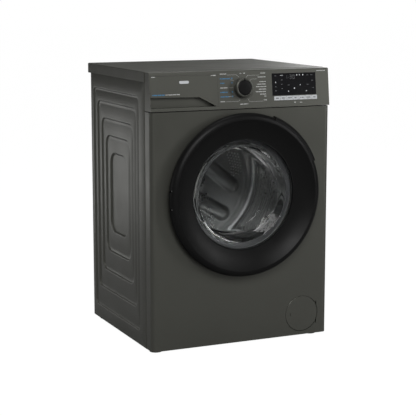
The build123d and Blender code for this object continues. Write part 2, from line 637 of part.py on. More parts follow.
HOSE_F = 470.0
with BuildPart() as drain_hose:
    with BuildLine():
        drain_route = FilletPolyline(
            (DRAIN_X, FRONT + 100, FILTER_Z), (DRAIN_X, FRONT + HOSE_F, FILTER_Z),
            (DRAIN_X, FRONT + HOSE_F, DRAIN_Z), (DRAIN_X, FRONT + BACK + 25, DRAIN_Z),
            radius=[60, 33],
        )
    with BuildSketch(Plane(origin=drain_route @ 0, z_dir=drain_route % 0)):
        Circle(DRAIN_R)
        Circle(DRAIN_R - 2.5, mode=Mode.SUBTRACT)
    sweep()
    collar = [(DRAIN_R - 1, BACK + 1), (15, BACK + 1), (15, BACK + 4), (DRAIN_R - 1, BACK + 4)]
    spun(collar, DRAIN_X, DRAIN_Z)
save(drain_hose, "drain_hose")


# Tub: two shells that meet at a flange, floating on springs and dampers
FLANGE_R = 263.0
TUB_OUT = TUB_R + TUB_WALL
with BuildPart() as tub_front:
    disc(0, AXIS_Z, TUB_OUT, TUB_F0, TUB_SEAM)
    disc(0, AXIS_Z, FLANGE_R, TUB_SEAM - 5, TUB_SEAM)
    post(SUMP_X, SUMP_F, 17, 226, 300)
    post(FILL_X, FILL_F, 17, 600, 690)
    disc(0, AXIS_Z, TUB_R, TUB_F0 + TUB_WALL, TUB_SEAM + 1, Mode.SUBTRACT)
    disc(0, AXIS_Z, TUB_MOUTH_R + TUB_WALL, TUB_F0 - 9, TUB_F0)
    disc(0, AXIS_Z, TUB_MOUTH_R, TUB_F0 - 10, TUB_F0 + 5, Mode.SUBTRACT)
    post(SUMP_X, SUMP_F, 14, 225, 300, Mode.SUBTRACT)
    post(FILL_X, FILL_F, 14, 600, 691, Mode.SUBTRACT)
save(tub_front, "tub_front")

with BuildPart() as tub_rear:
    disc(0, AXIS_Z, TUB_OUT, TUB_SEAM, TUB_F1)
    disc(0, AXIS_Z, FLANGE_R, TUB_SEAM, TUB_SEAM + 5)
    for side in (-1, 1):
        lug_x = side * HANGER_X
        damper_x = side * DAMPER_X
        block(min(lug_x, side * 225), max(lug_x, side * 225), 290, 310, LUG_Z - 20, LUG_Z)
        block(lug_x - 8, lug_x + 8, 290, 310, LUG_Z - 20, LUG_Z)
        block(damper_x - 12, damper_x + 12, 290, 310, DAMPER_LUG_Z, DAMPER_LUG_Z + 30)
    disc(0, AXIS_Z, TUB_R, TUB_SEAM - 1, TUB_F1 - TUB_WALL, Mode.SUBTRACT)
    disc(0, AXIS_Z, 36, 405, 441)
    for number in range(8):
        angle = radians(22.5 + 45 * number)
        rib = Plane(
            origin=(0, FRONT + TUB_F1, AXIS_Z),
            x_dir=(cos(angle), 0, sin(angle)),
            z_dir=(-sin(angle), 0, cos(angle)),
        )
        prism(rib.offset(-1.5), [(30, -1), (230, -1), (230, 6), (30, 14)], 3)
    disc(0, AXIS_Z, BEARING_R, 404, 442, Mode.SUBTRACT)
    for x in (-30, 30):
        disc(x, 229, 3.6, 415, 430, Mode.SUBTRACT)
save(tub_rear, "tub_rear")

with BuildPart() as drum_bearings:
    for f0 in (406, 427):
        disc(0, AXIS_Z, BEARING_R, f0, f0 + 12)
    disc(0, AXIS_Z, SHAFT_R + RUN, 400, 445, Mode.SUBTRACT)
save(drum_bearings, "drum_bearings")

with BuildPart() as heater:
    with BuildLine():
        element = FilletPolyline(
            (-30, FRONT + TUB_F1, 229), (-30, FRONT + 140, 229), (30, FRONT + 140, 229),
            (30, FRONT + TUB_F1, 229), radius=28,
        )
    with BuildSketch(Plane(origin=element @ 0, z_dir=element % 0)):
        Circle(3.5)
    sweep()
    block(-42, 42, TUB_F1, TUB_F1 + 3, 223, 241)
    for x in (-30, 30):
        disc(x, 229, 3, TUB_F1 + 3, TUB_F1 + 14)
save(heater, "heater")

with BuildPart() as front_counterweight:
    disc(0, AXIS_Z, 238, 32, TUB_F0 - 0.5)
    disc(0, AXIS_Z, 186, 31, TUB_F0, Mode.SUBTRACT)
save(front_counterweight, "front_counterweight")

with BuildPart() as top_counterweight:
    block(-70, 130, 110, TUB_SEAM - 7, AXIS_Z + 215, AXIS_Z + 294)
    disc(0, AXIS_Z, TUB_OUT + 0.2, 100, TUB_SEAM, Mode.SUBTRACT)
save(top_counterweight, "top_counterweight")

MOTOR_F0, MOTOR_F1 = 250.0, 405.0
with BuildPart() as motor:
    disc(0, MOTOR_Z, MOTOR_R, MOTOR_F0 + 15, MOTOR_F1 - 10)
    disc(0, MOTOR_Z, MOTOR_R - 14, MOTOR_F0, MOTOR_F1)
    block(-24, 24, MOTOR_F0 + 15, MOTOR_F1 - 10, MOTOR_Z + 40, 235)
    disc(0, AXIS_Z, TUB_OUT + 0.2, 200, MOTOR_F1 + 5, Mode.SUBTRACT)
    disc(0, MOTOR_Z, 5 + RUN, MOTOR_F1 - 25, MOTOR_F1 + 1, Mode.SUBTRACT)
save(motor, "motor")

with BuildPart() as motor_pulley:
    disc(0, MOTOR_Z, 5, MOTOR_F1 - 24, BELT_F0 - 3)
    disc(0, MOTOR_Z, MOTOR_PULLEY_R, BELT_F0 - 3, BELT_F1 + 3)
    disc(0, MOTOR_Z, MOTOR_PULLEY_R + 4, BELT_F0 - 4, BELT_F0 - 1)
    disc(0, MOTOR_Z, MOTOR_PULLEY_R + 4, BELT_F1 + 1, BELT_F1 + 4)
save(motor_pulley, "motor_pulley")


def belt_outline(gap, mode):
    """Straight tangents round both pulleys at a gap from their rims."""
    with BuildSketch(facing(BELT_F0)) as loop:
        with Locations((0, AXIS_Z)):
            Circle(DRUM_PULLEY_R + gap)
        with Locations((0, MOTOR_Z)):
            Circle(MOTOR_PULLEY_R + gap)
        make_hull()
    extrude(loop.sketch, amount=-(BELT_F1 - BELT_F0), mode=mode)


with BuildPart() as drive_belt:
    belt_outline(CLEAR + BELT_T, Mode.ADD)
    belt_outline(CLEAR, Mode.SUBTRACT)
save(drive_belt, "drive_belt")

with BuildPart() as drum_pulley:
    spun([
        (10, 458), (22, 458), (22, 470), (130, 474), (130, 464), (DRUM_PULLEY_R, 464),
        (DRUM_PULLEY_R, 484), (130, 484), (130, 478), (22, 476), (22, 480), (10, 480),
    ])
    for number in range(6):
        angle = radians(60 * number)
        disc(78 * cos(angle), AXIS_Z + 78 * sin(angle), 28, 450, 490, Mode.SUBTRACT)
save(drum_pulley, "drum_pulley")

with BuildPart() as drum_spider:
    disc(0, AXIS_Z, 34, 392, 404)
    for number in range(3):
        angle = radians(90 + 120 * number)
        arm = Plane(origin=(0, FRONT + 392, AXIS_Z), x_dir=(cos(angle), 0, sin(angle)), z_dir=(0, 1, 0))
        prism(arm, [(20, -22), (215, -10), (215, 10), (20, 22)], 9)
    disc(0, AXIS_Z, SHAFT_R, 404, 458)
    disc(0, AXIS_Z, 10, 458, 484)
save(drum_spider, "drum_spider")

DRUM_BACK_R = 200.0
with BuildPart() as drum_shell:
    spun([
        (MOUTH_R, 66), (MOUTH_R + 4, 66), (MOUTH_R + 6, 69), (224, 76), (236, 82), (DRUM_R, 92),
        (DRUM_R, 374), (236, 384), (226, 391), (DRUM_BACK_R, 392),
        (DRUM_BACK_R, 391), (225.5, 390), (235, 383.4), (DRUM_R - 1, 373.6),
        (DRUM_R - 1, 92.4), (235.2, 83), (223.6, 77), (MOUTH_R + 5, 70), (MOUTH_R, 70),
    ])
save(drum_shell, "drum_shell")

with BuildPart() as drum_back:
    disc(0, AXIS_Z, DRUM_BACK_R, 391, 392)
save(drum_back, "drum_back")

with BuildPart() as drum_paddles:
    for number in range(3):
        angle = radians(30 + 120 * number)
        paddle = Plane(origin=(0, FRONT + 92, AXIS_Z), x_dir=(-sin(angle), 0, cos(angle)), z_dir=(0, 1, 0))
        side = 1 if paddle.y_dir.dot(Vector(cos(angle), 0, sin(angle))) > 0 else -1
        outline = [(-34, 245), (34, 245), (26, 222), (9, 194), (0, 191), (-9, 194), (-26, 222)]
        prism(paddle, [(u, side * v) for u, v in outline], 281)
    disc(0, AXIS_Z, DRUM_R - 1, 92.4, 373.4, Mode.INTERSECT)
save(drum_paddles, "drum_paddles")


# Soft links between the cabinet and the floating tub
with BuildPart() as door_gasket:
    spun([
        (173.3, 3), (176.5, 3), (176.5, 17), (182, 22), (182, 44), (173, 50), (173, 58), (169.4, 58),
        (169.4, 48), (178.8, 42), (178.8, 24), (173.3, 18.5), (157, 17.5), (157, 15), (173.3, 15),
    ])
save(door_gasket, "door_gasket")


def bellows(x, depth, z0, z1):
    post(x, depth, 20.5, z0, z1)
    post(x, depth, 17 + CLEAR, z0 - 1, z1 + 1, Mode.SUBTRACT)


with BuildPart() as sump_hose:
    bellows(SUMP_X, SUMP_F, 106, 241)
save(sump_hose, "sump_hose")

with BuildPart() as fill_hose:
    bellows(FILL_X, FILL_F, 667, 740)
save(fill_hose, "fill_hose")

SPRING_R, WIRE_R = 9.0, 1.8
with BuildPart() as suspension_springs:
    for x in (-HANGER_X, HANGER_X):
        post(x, HANGER_F, SPRING_R, LUG_Z + 16, HANGER_Z - 16)
        post(x, HANGER_F, SPRING_R - 2 * WIRE_R, LUG_Z + 18, HANGER_Z - 18, Mode.SUBTRACT)
        post(x, HANGER_F, WIRE_R, LUG_Z, LUG_Z + 18)
        post(x, HANGER_F, WIRE_R, HANGER_Z - 18, HANGER_Z + 4)
        post(x, HANGER_F, 4.0, HANGER_Z + 2, HANGER_Z + 5)
save(suspension_springs, "suspension_springs")

CYLINDER_R, PISTON_R, ROD_R = 16.0, 12.0, 6.0
with BuildPart() as damper_cylinders:
    for x in (-DAMPER_X, DAMPER_X):
        post(x, HANGER_F, CYLINDER_R, 30, 160)
        post(x, HANGER_F, PISTON_R + RUN, 36, 154, Mode.SUBTRACT)
        post(x, HANGER_F, ROD_R + RUN, 150, 161, Mode.SUBTRACT)
save(damper_cylinders, "damper_cylinders")

with BuildPart() as damper_rods:
    for x in (-DAMPER_X, DAMPER_X):
        post(x, HANGER_F, PISTON_R, 84, 100)
        post(x, HANGER_F, ROD_R, 100, DAMPER_LUG_Z)
save(damper_rods, "damper_rods")
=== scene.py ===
import json
import math

import bpy
from mathutils import Matrix, Vector


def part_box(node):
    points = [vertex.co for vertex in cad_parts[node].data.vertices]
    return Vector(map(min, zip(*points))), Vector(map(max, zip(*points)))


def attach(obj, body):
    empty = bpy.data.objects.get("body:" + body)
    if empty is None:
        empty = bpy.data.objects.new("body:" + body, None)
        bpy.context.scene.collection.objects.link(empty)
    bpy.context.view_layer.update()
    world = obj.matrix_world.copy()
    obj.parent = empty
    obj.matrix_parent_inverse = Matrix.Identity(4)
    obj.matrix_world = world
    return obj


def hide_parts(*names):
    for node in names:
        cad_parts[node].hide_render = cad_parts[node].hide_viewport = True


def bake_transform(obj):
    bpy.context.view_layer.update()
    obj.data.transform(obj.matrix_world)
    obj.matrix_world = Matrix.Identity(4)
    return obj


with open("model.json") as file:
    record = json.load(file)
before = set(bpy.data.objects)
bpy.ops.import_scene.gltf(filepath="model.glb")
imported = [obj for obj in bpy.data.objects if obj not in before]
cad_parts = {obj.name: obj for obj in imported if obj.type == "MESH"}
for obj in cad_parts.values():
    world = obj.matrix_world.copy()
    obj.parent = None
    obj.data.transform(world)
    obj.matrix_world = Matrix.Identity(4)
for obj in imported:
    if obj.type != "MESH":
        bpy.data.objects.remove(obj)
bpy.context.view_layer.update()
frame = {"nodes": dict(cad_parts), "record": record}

# Front load washing machine. The drawing functions take millimetres in the frame's axes: x to the right,
# depth back from the front panel's outer face, z up. MM turns them into the frame's metres.
MM = 0.001
ON_AXIS = 1e-6  # a radius below this is a point on the axis
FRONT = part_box("front_panel")[0][1] / MM
AXIS_Z = 474.0
HALF = -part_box("side_panel_left")[0][0] / MM
SIDE_F0, BACK = 46.6, 519.0
FLOOR_GAP, BODY_TOP = 12.0, 819.0
PANEL_Z = 735.0
LEAN = math.radians(6.5)
KNOB_X, KNOB_Z = 2.0, 796.0
BUTTON_X0, BUTTON_PITCH, BUTTON_Z = 117.6, 21.2, 761.2
BUTTON_COUNT = 7


# Meshes
def place(x, depth, z):
    """A point of the frame from x, depth and height in millimetres."""
    return (x * MM, (FRONT + depth) * MM, z * MM)


def on_fascia(x, z, out):
    """A point in front of the leaning control panel by out millimetres."""
    depth = (z - PANEL_Z) * math.tan(LEAN)
    return place(x, depth - out * math.cos(LEAN), z + out * math.sin(LEAN))


def piece(name, points, faces, look, body, slot=None, stands_for=(), sharp=35.0, uvs=None):
    """A mesh object in the frame, shaded smooth up to the sharp angle, riding on a body if one is named."""
    mesh = bpy.data.meshes.new(name)
    mesh.from_pydata(points, [], faces)
    mesh.validate()
    mesh.materials.append(look)
    mesh.shade_smooth()
    mesh.set_sharp_from_angle(angle=math.radians(sharp))
    if uvs:
        layer = mesh.uv_layers.new(name="UVMap")
        for loop in mesh.loops:
            layer.data[loop.index].uv = uvs[loop.vertex_index]
    made = bpy.data.objects.new(name, mesh)
    bpy.context.scene.collection.objects.link(made)
    if body:
        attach(made, body)
    if stands_for:
        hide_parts(*stands_for)
    return made


class Shape:
    """Points and faces that are gathered before they become a piece."""

    def __init__(self):
        self.points = []
        self.faces = []

    def loop(self, points):
        start = len(self.points)
        self.points.extend(points)
        return list(range(start, len(self.points)))

    def bridge(self, a, b, closed=True):
        last = len(a) if closed else len(a) - 1
        for i in range(last):
            j = (i + 1) % len(a)
            self.faces.append((a[i], a[j], b[j], b[i]))

    def cap(self, ring):
        self.faces.append(tuple(ring))

    def slab(self, lower, upper):
        """A closed slab between two outlines of the same number of points."""
        a = self.loop(lower)
        b = self.loop(upper)
        self.bridge(a, b)
        self.cap(a[::-1])
        self.cap(b)


def arc(centre, radius, start, end, steps):
    """Points of an arc, with angles in degrees."""
    return [
        (
            centre[0] + radius * math.cos(math.radians(start + (end - start) * i / steps)),
            centre[1] + radius * math.sin(math.radians(start + (end - start) * i / steps)),
        )
        for i in range(steps + 1)
    ]


def lathe(name, profile, look, body, x=0.0, z=AXIS_Z, steps=144, **options):
    """A closed (radius, depth) outline turned about an axis that runs front to back."""
    shape = Shape()
    rings = []
    for radius, depth in profile:
        if radius < ON_AXIS:
            rings.append(shape.loop([place(x, depth, z)]))
            continue
        turn = [2 * math.pi * i / steps for i in range(steps)]
        rings.append(shape.loop([
            place(x + radius * math.cos(a), depth, z + radius * math.sin(a)) for a in turn
        ]))
    for a, b in zip(rings, rings[1:] + rings[:1]):
        if len(a) == 1 and len(b) == 1:
            continue
        if len(a) == 1:
            for i in range(steps):
                shape.faces.append((a[0], b[i], b[(i + 1) % steps]))
        elif len(b) == 1:
            for i in range(steps):
                shape.faces.append((a[(i + 1) % steps], a[i], b[0]))
        else:
            for i in range(steps):
                j = (i + 1) % steps
                shape.faces.append((a[j], a[i], b[i], b[j]))
    return piece(name, shape.points, shape.faces, look, body, **options)


# Materials
def new_look(name, colour, roughness, metallic=0.0):
    look = bpy.data.materials.new(name)
    look.use_nodes = True
    look.diffuse_color = (*colour, 1.0)
    shader = look.node_tree.nodes["Principled BSDF"]
    shader.inputs["Base Color"].default_value = (*colour, 1.0)
    shader.inputs["Roughness"].default_value = roughness
    shader.inputs["Metallic"].default_value = metallic
    return look, shader


def place_texture(look, kind, scale, stretch=(1.0, 1.0, 1.0), source="Object"):
    nodes, links = look.node_tree.nodes, look.node_tree.links
    coords = nodes.new("ShaderNodeTexCoord")
    mapping = nodes.new("ShaderNodeMapping")
    mapping.inputs["Scale"].default_value = stretch
    texture = nodes.new(kind)
    texture.inputs["Scale"].default_value = scale
    links.new(coords.outputs[source], mapping.inputs["Vector"])
    links.new(mapping.outputs["Vector"], texture.inputs["Vector"])
    return texture


def spread(look, value, low, high, from_low=0.3, from_high=0.7):
    """A texture value stretched to a range."""
    ramp = look.node_tree.nodes.new("ShaderNodeMapRange")
    ramp.inputs["From Min"].default_value = from_low
    ramp.inputs["From Max"].default_value = from_high
    ramp.inputs["To Min"].default_value = low
    ramp.inputs["To Max"].default_value = high
    look.node_tree.links.new(value, ramp.inputs["Value"])
    return ramp.outputs["Result"]


def tint(look, shader, value, dark, light, from_low=0.3, from_high=0.7):
    """Base colour that runs between two colours with a texture value."""
    mix = look.node_tree.nodes.new("ShaderNodeMix")
    mix.data_type = "RGBA"
    mix.inputs["A"].default_value = (*dark, 1.0)
    mix.inputs["B"].default_value = (*light, 1.0)
    links = look.node_tree.links
    links.new(spread(look, value, 0.0, 1.0, from_low, from_high), mix.inputs["Factor"])
    links.new(mix.outputs["Result"], shader.inputs["Base Color"])


def emboss(look, shader, value, strength, distance):
    bump = look.node_tree.nodes.new("ShaderNodeBump")
    bump.inputs["Strength"].default_value = strength
    bump.inputs["Distance"].default_value = distance
    links = look.node_tree.links
    links.new(value, bump.inputs["Height"])
    links.new(bump.outputs["Normal"], shader.inputs["Normal"])


def shade(colour, factor):
    return tuple(min(1.0, channel * factor) for channel in colour)


def metallic_paint(name, colour, roughness=0.38):
    """Satin paint with fine metal flakes, orange peel and a soft uneven gloss."""
    look, shader = new_look(name, colour, roughness, 0.55)
    shader.inputs["Coat Weight"].default_value = 0.12
    shader.inputs["Coat Roughness"].default_value = 0.3
    flakes = place_texture(look, "ShaderNodeTexNoise", 2600.0)
    flakes.inputs["Detail"].default_value = 2.0
    tint(look, shader, flakes.outputs["Fac"], shade(colour, 0.86), shade(colour, 1.16))
    cloud = place_texture(look, "ShaderNodeTexNoise", 9.0)
    gloss = spread(look, cloud.outputs["Fac"], roughness - 0.03, roughness + 0.04)
    look.node_tree.links.new(gloss, shader.inputs["Roughness"])
    peel = place_texture(look, "ShaderNodeTexNoise", 420.0)
    emboss(look, shader, peel.outputs["Fac"], 0.06, 0.0004)
    return look


def moulded(name, colour, roughness, grain=900.0, depth=0.12, coat=0.0, specular=0.5):
    """Moulded plastic with a fine spark-eroded grain."""
    look, shader = new_look(name, colour, roughness)
    shader.inputs["Specular IOR Level"].default_value = specular
    shader.inputs["Coat Weight"].default_value = coat
    shader.inputs["Coat Roughness"].default_value = 0.15
    texture = place_texture(look, "ShaderNodeTexNoise", grain)
    texture.inputs["Detail"].default_value = 4.0
    tint(look, shader, texture.outputs["Fac"], shade(colour, 0.9), shade(colour, 1.08))
    cloud = place_texture(look, "ShaderNodeTexNoise", 14.0)
    gloss = spread(look, cloud.outputs["Fac"], roughness - 0.03, roughness + 0.05)
    look.node_tree.links.new(gloss, shader.inputs["Roughness"])
    emboss(look, shader, texture.outputs["Fac"], depth, 0.0003)
    return look


def brushed(name, colour, roughness, stretch, source="Object", depth=0.08):
    """Metal with fine drawn lines along one direction."""
    look, shader = new_look(name, colour, roughness, 1.0)
    lines = place_texture(look, "ShaderNodeTexNoise", 1.0, stretch, source)
    lines.inputs["Detail"].default_value = 6.0
    lines.inputs["Roughness"].default_value = 0.65
    tint(look, shader, lines.outputs["Fac"], shade(colour, 0.72), shade(colour, 1.1))
    gloss = spread(look, lines.outputs["Fac"], roughness - 0.07, roughness + 0.12)
    look.node_tree.links.new(gloss, shader.inputs["Roughness"])
    emboss(look, shader, lines.outputs["Fac"], depth, 0.0003)
    return look


def spangled(name, colour, roughness):
    """Hot dip zinc with its crystals."""
    look, shader = new_look(name, colour, roughness, 1.0)
    crystals = place_texture(look, "ShaderNodeTexVoronoi", 90.0)
    tint(look, shader, crystals.outputs["Distance"], shade(colour, 0.75), shade(colour, 1.05), 0.0, 0.8)
    gloss = spread(look, crystals.outputs["Distance"], roughness, roughness + 0.2, 0.0, 0.8)
    look.node_tree.links.new(gloss, shader.inputs["Roughness"])
    return look


def cast(name, colour, roughness, metallic, grain=260.0, depth=0.5):
    """A cast surface with sand grain."""
    look, shader = new_look(name, colour, roughness, metallic)
    sand = place_texture(look, "ShaderNodeTexNoise", grain)
    sand.inputs["Detail"].default_value = 8.0
    tint(look, shader, sand.outputs["Fac"], shade(colour, 0.7), shade(colour, 1.15))
    emboss(look, shader, sand.outputs["Fac"], depth, 0.0006)
    return look


def speckled(name, colour, roughness):
    """Mineral filled plastic with faint flow marks."""
    look, shader = new_look(name, colour, roughness)
    flow = place_texture(look, "ShaderNodeTexNoise", 14.0, (1.0, 1.0, 0.35))
    flow.inputs["Distortion"].default_value = 1.2
    tint(look, shader, flow.outputs["Fac"], shade(colour, 0.88), shade(colour, 1.05))
    grain = place_texture(look, "ShaderNodeTexNoise", 700.0)
    emboss(look, shader, grain.outputs["Fac"], 0.15, 0.0003)
    return look


def tracked_board(name):
    """Circuit board lacquer with copper tracks under it."""
    look, shader = new_look(name, (0.02, 0.13, 0.05), 0.3)
    tracks = place_texture(look, "ShaderNodeTexBrick", 160.0)
    tracks.inputs["Mortar Size"].default_value = 0.05
    tint(look, shader, tracks.outputs["Fac"], (0.02, 0.12, 0.045), (0.05, 0.24, 0.09), 0.0, 1.0)
    emboss(look, shader, tracks.outputs["Fac"], 0.2, 0.0002)
    return look


def printed(name, colour, glow=0.0):
    """Screen printed ink with slightly uneven cover."""
    look, shader = new_look(name, colour, 0.5)
    cover = place_texture(look, "ShaderNodeTexNoise", 1500.0)
    tint(look, shader, cover.outputs["Fac"], shade(colour, 0.85), shade(colour, 1.0))
    if glow:
        shader.inputs["Emission Color"].default_value = (*colour, 1.0)
        shader.inputs["Emission Strength"].default_value = glow
    return look


def clear_glass(name):
    """Pressed glass that lets lamps through, with a faint uneven tint."""
    look, shader = new_look(name, (0.93, 0.95, 0.95), 0.02)
    shader.inputs["Transmission Weight"].default_value = 1.0
    shader.inputs["IOR"].default_value = 1.2
    haze = place_texture(look, "ShaderNodeTexNoise", 16.0)
    tint(look, shader, haze.outputs["Fac"], (0.9, 0.93, 0.93), (0.95, 0.96, 0.96))
    nodes, links = look.node_tree.nodes, look.node_tree.links
    path = nodes.new("ShaderNodeLightPath")
    clear = nodes.new("ShaderNodeBsdfTransparent")
    clear.inputs["Color"].default_value = (0.93, 0.94, 0.94, 1.0)
    mix = nodes.new("ShaderNodeMixShader")
    links.new(path.outputs["Is Shadow Ray"], mix.inputs["Fac"])
    links.new(shader.outputs["BSDF"], mix.inputs[1])
    links.new(clear.outputs["BSDF"], mix.inputs[2])
    links.new(mix.outputs["Shader"], nodes["Material Output"].inputs["Surface"])
    return look


DARK_GREY = (0.085, 0.086, 0.074)
LOOKS = {
    "cabinet_paint": metallic_paint("cabinet_paint_look", DARK_GREY),
    "fascia_plastic": metallic_paint("fascia_plastic_look", DARK_GREY, 0.42),
    "rear_steel": metallic_paint("rear_steel_look", shade(DARK_GREY, 0.9), 0.5),
    "galvanised_steel": spangled("galvanised_steel_look", (0.6, 0.61, 0.62), 0.35),
    "black_gloss": moulded("black_gloss_look", (0.005, 0.005, 0.005), 0.4, 700.0, 0.04, 0.0, 0.13),
    "black_plastic": moulded("black_plastic_look", (0.012, 0.012, 0.012), 0.5),
    "white_plastic": moulded("white_plastic_look", (0.72, 0.73, 0.72), 0.4),
    "tub_plastic": speckled("tub_plastic_look", (0.42, 0.42, 0.4), 0.5),
    "silver_plastic": moulded("silver_plastic_look", (0.5, 0.515, 0.53), 0.32, 1200.0, 0.06),
    "display_glass": moulded("display_glass_look", (0.006, 0.006, 0.007), 0.12, 1200.0, 0.01, 0.5),
    "circuit_board": tracked_board("circuit_board_look"),
    "door_glass": clear_glass("door_glass_look"),
    "stainless": brushed("stainless_look", (0.56, 0.56, 0.55), 0.24, (30.0, 700.0, 30.0)),
    "cast_metal": cast("cast_metal_look", (0.5, 0.5, 0.51), 0.42, 1.0),
    "iron": cast("ballast_look", (0.16, 0.16, 0.155), 0.8, 0.0, 120.0, 0.9),
    "steel": brushed("steel_look", (0.5, 0.5, 0.5), 0.34, (260.0, 260.0, 40.0)),
    "grey_rubber": moulded("grey_rubber_look", (0.05, 0.05, 0.052), 0.5, 500.0, 0.2),
    "black_rubber": moulded("black_rubber_look", (0.018, 0.018, 0.018), 0.6, 500.0, 0.2),
    "knob_rim": metallic_paint("knob_rim_look", shade(DARK_GREY, 0.8), 0.32),
}
WHITE_INK = printed("white_ink", (0.62, 0.63, 0.62))
BLUE_INK = printed("blue_ink", (0.035, 0.21, 0.42))
DARK_INK = printed("dark_ink", (0.03, 0.03, 0.032))
LIT_INK = printed("display_light", (0.5, 0.52, 0.54), 0.35)
DIM_INK = printed("display_dim", (0.12, 0.125, 0.13), 0.08)
DRUM_LOOK = brushed("drum_wall_look", (0.52, 0.52, 0.51), 0.2, (3.0, 260.0, 1.0), "UV", 0.02)
POLISHED = brushed("polished_look", (0.5, 0.5, 0.5), 0.31, (4.0, 4.0, 4.0), "Object", 0.0)
# Lighter steel than the drum's back for the pressed dimples: a painted highlight added to the real glints
# their bumps catch.
GLINT_PAINTED_STEEL = brushed("glint_painted_steel_look", (0.8, 0.8, 0.8), 0.34, (9.0, 9.0, 9.0), "Object", 0.0)

for sub in frame["record"]["subparts"]:
    mesh = frame["nodes"][sub["node"]].data
    mesh.materials.clear()
    mesh.materials.append(LOOKS[sub["material_slot"]])


# Side panels: nested rounded rectangles, each one a crisp step in and a soft rise to the next
RINGS = (  # depth from, depth to, bottom, top, corner radius
    (94.0, 497.0, 54.0, 777.0, 20.0),
    (122.0, 466.0, 121.0, 738.0, 24.0),
    (151.0, 433.0, 185.0, 685.0, 30.0),
    (181.0, 400.0, 252.0, 632.0, 36.0),
    (211.0, 366.0, 320.0, 579.0, 42.0),
)
CORNER_STEPS = 10
STEP_DEPTH = 4.2
STEP_RISE = 2.4
FLANGE_REACH = 5.5  # clears the drawer's housing, 6 mm inside the panel


def rounded(f0, f1, z0, z1, radius):
    """Outline of a rounded rectangle in depth and height, with CORNER_STEPS + 1 points a corner."""
    outline = []
    corners = ((f1, z1, 0), (f0, z1, 90), (f0, z0, 180), (f1, z0, 270))
    for f, z, start in corners:
        centre = (
            f - radius if f == f1 else f + radius,
            z - radius if z == z1 else z + radius,
        )
        outline.extend(arc(centre, radius, start, start + 90, CORNER_STEPS))
    return outline


def shrunk(ring, amount):
    f0, f1, z0, z1, radius = ring
    return rounded(f0 + amount, f1 - amount, z0 + amount, z1 - amount, max(0.3, radius - amount))


def between(outer, inner, share):
    return [
        (a[0] + (b[0] - a[0]) * share, a[1] + (b[1] - a[1]) * share) for a, b in zip(outer, inner)
    ]


def side_skin(name, side, node):
    border = (SIDE_F0, BACK, FLOOR_GAP, BODY_TOP, 1.6)
    levels = [(shrunk(border, 0.0), FLANGE_REACH), (shrunk(border, 0.0), 1.5)]
    for turn in (30, 60, 90):
        inset = 1.5 - 1.5 * math.cos(math.radians(turn))
        drop = 1.5 - 1.5 * math.sin(math.radians(turn))
        levels.append((shrunk(border, inset), drop))
    floor = 0.0
    levels.append((shrunk(RINGS[0], -1.2), floor))
    for number, ring in enumerate(RINGS):
        for share in (0.0, 0.25, 0.5, 0.75, 1.0):
            ease = share * share * (3 - 2 * share)
            levels.append((shrunk(ring, 5.0 * share), floor + STEP_DEPTH * ease))
        floor += STEP_DEPTH
        start = shrunk(ring, 5.0)
        if number + 1 < len(RINGS):
            end = shrunk(RINGS[number + 1], -1.2)
            for share in (0.2, 0.4, 0.6, 0.8, 1.0):
                rise = STEP_RISE * math.sin(share * math.pi / 2)
                levels.append((between(start, end, share), floor - rise))
            floor -= STEP_RISE
    shape = Shape()
    loops = [
        shape.loop([place(side * (HALF - drop), f, z) for f, z in outline]) for outline, drop in levels
    ]
    for a, b in zip(loops, loops[1:]):
        if side > 0:
            shape.bridge(b, a)
        else:
            shape.bridge(a, b)
    shape.cap(loops[-1] if side > 0 else loops[-1][::-1])
    made = piece(name, shape.points, shape.faces, LOOKS["cabinet_paint"], "cabinet",
                 slot="cabinet_paint", stands_for=(node,), sharp=50.0)
    sheet = made.modifiers.new("sheet", "SOLIDIFY")
    sheet.thickness = 1.0 * MM
    sheet.offset = -1.0
    return made


side_skin("side_skin_left", -1, "side_panel_left")
side_skin("side_skin_right", 1, "side_panel_right")


# Door: the pressed glass bowl and the bellows round the mouth of the tub
def softened(outline, rounds=2):
    """A closed outline with its corners cut, rounds times over."""
    for _ in range(rounds):
        cut = []
        for (r0, f0), (r1, f1) in zip(outline, outline[1:] + outline[:1]):
            if r0 < ON_AXIS and r1 < ON_AXIS:
                cut.extend([(r0, f0), (r1, f1)])
                continue
            cut.append((0.75 * r0 + 0.25 * r1, 0.75 * f0 + 0.25 * f1) if r0 > ON_AXIS else (r0, f0))
            cut.append((0.25 * r0 + 0.75 * r1, 0.25 * f0 + 0.75 * f1) if r1 > ON_AXIS else (r1, f1))
        outline = cut
    return outline


GLASS = [
    (0, 105), (100, 104.6), (124, 103.5), (136, 95), (149, 50), (150, -1), (155, -4), (171, -4),
    (171, -8), (147, -8), (146, -2), (145, 49), (132.5, 92.5), (122, 99.5), (100, 100.6), (0, 101),
]
lathe("door_bowl", softened(GLASS, 3), LOOKS["door_glass"], "door",
      slot="door_glass", stands_for=("door_glass",), sharp=60.0)

GASKET = [
    (173.3, 3), (176.5, 3), (176.5, 12), (178, 17), (182, 22), (182, 30), (177, 34), (177, 38), (182, 42),
    (181, 46), (174, 50), (173, 58), (169.4, 58), (169.6, 48), (176, 43), (177, 41), (172, 37), (172, 34),
    (177.5, 28), (177.5, 24), (173.3, 19.5), (163, 18.5), (157.5, 20), (157, 16), (163, 15), (173.3, 15),
]
bellows_skin = lathe("gasket_bellows", softened(GASKET, 2), LOOKS["grey_rubber"], None, steps=120,
                     slot="grey_rubber", stands_for=("door_gasket",), sharp=60.0)
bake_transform(bellows_skin)


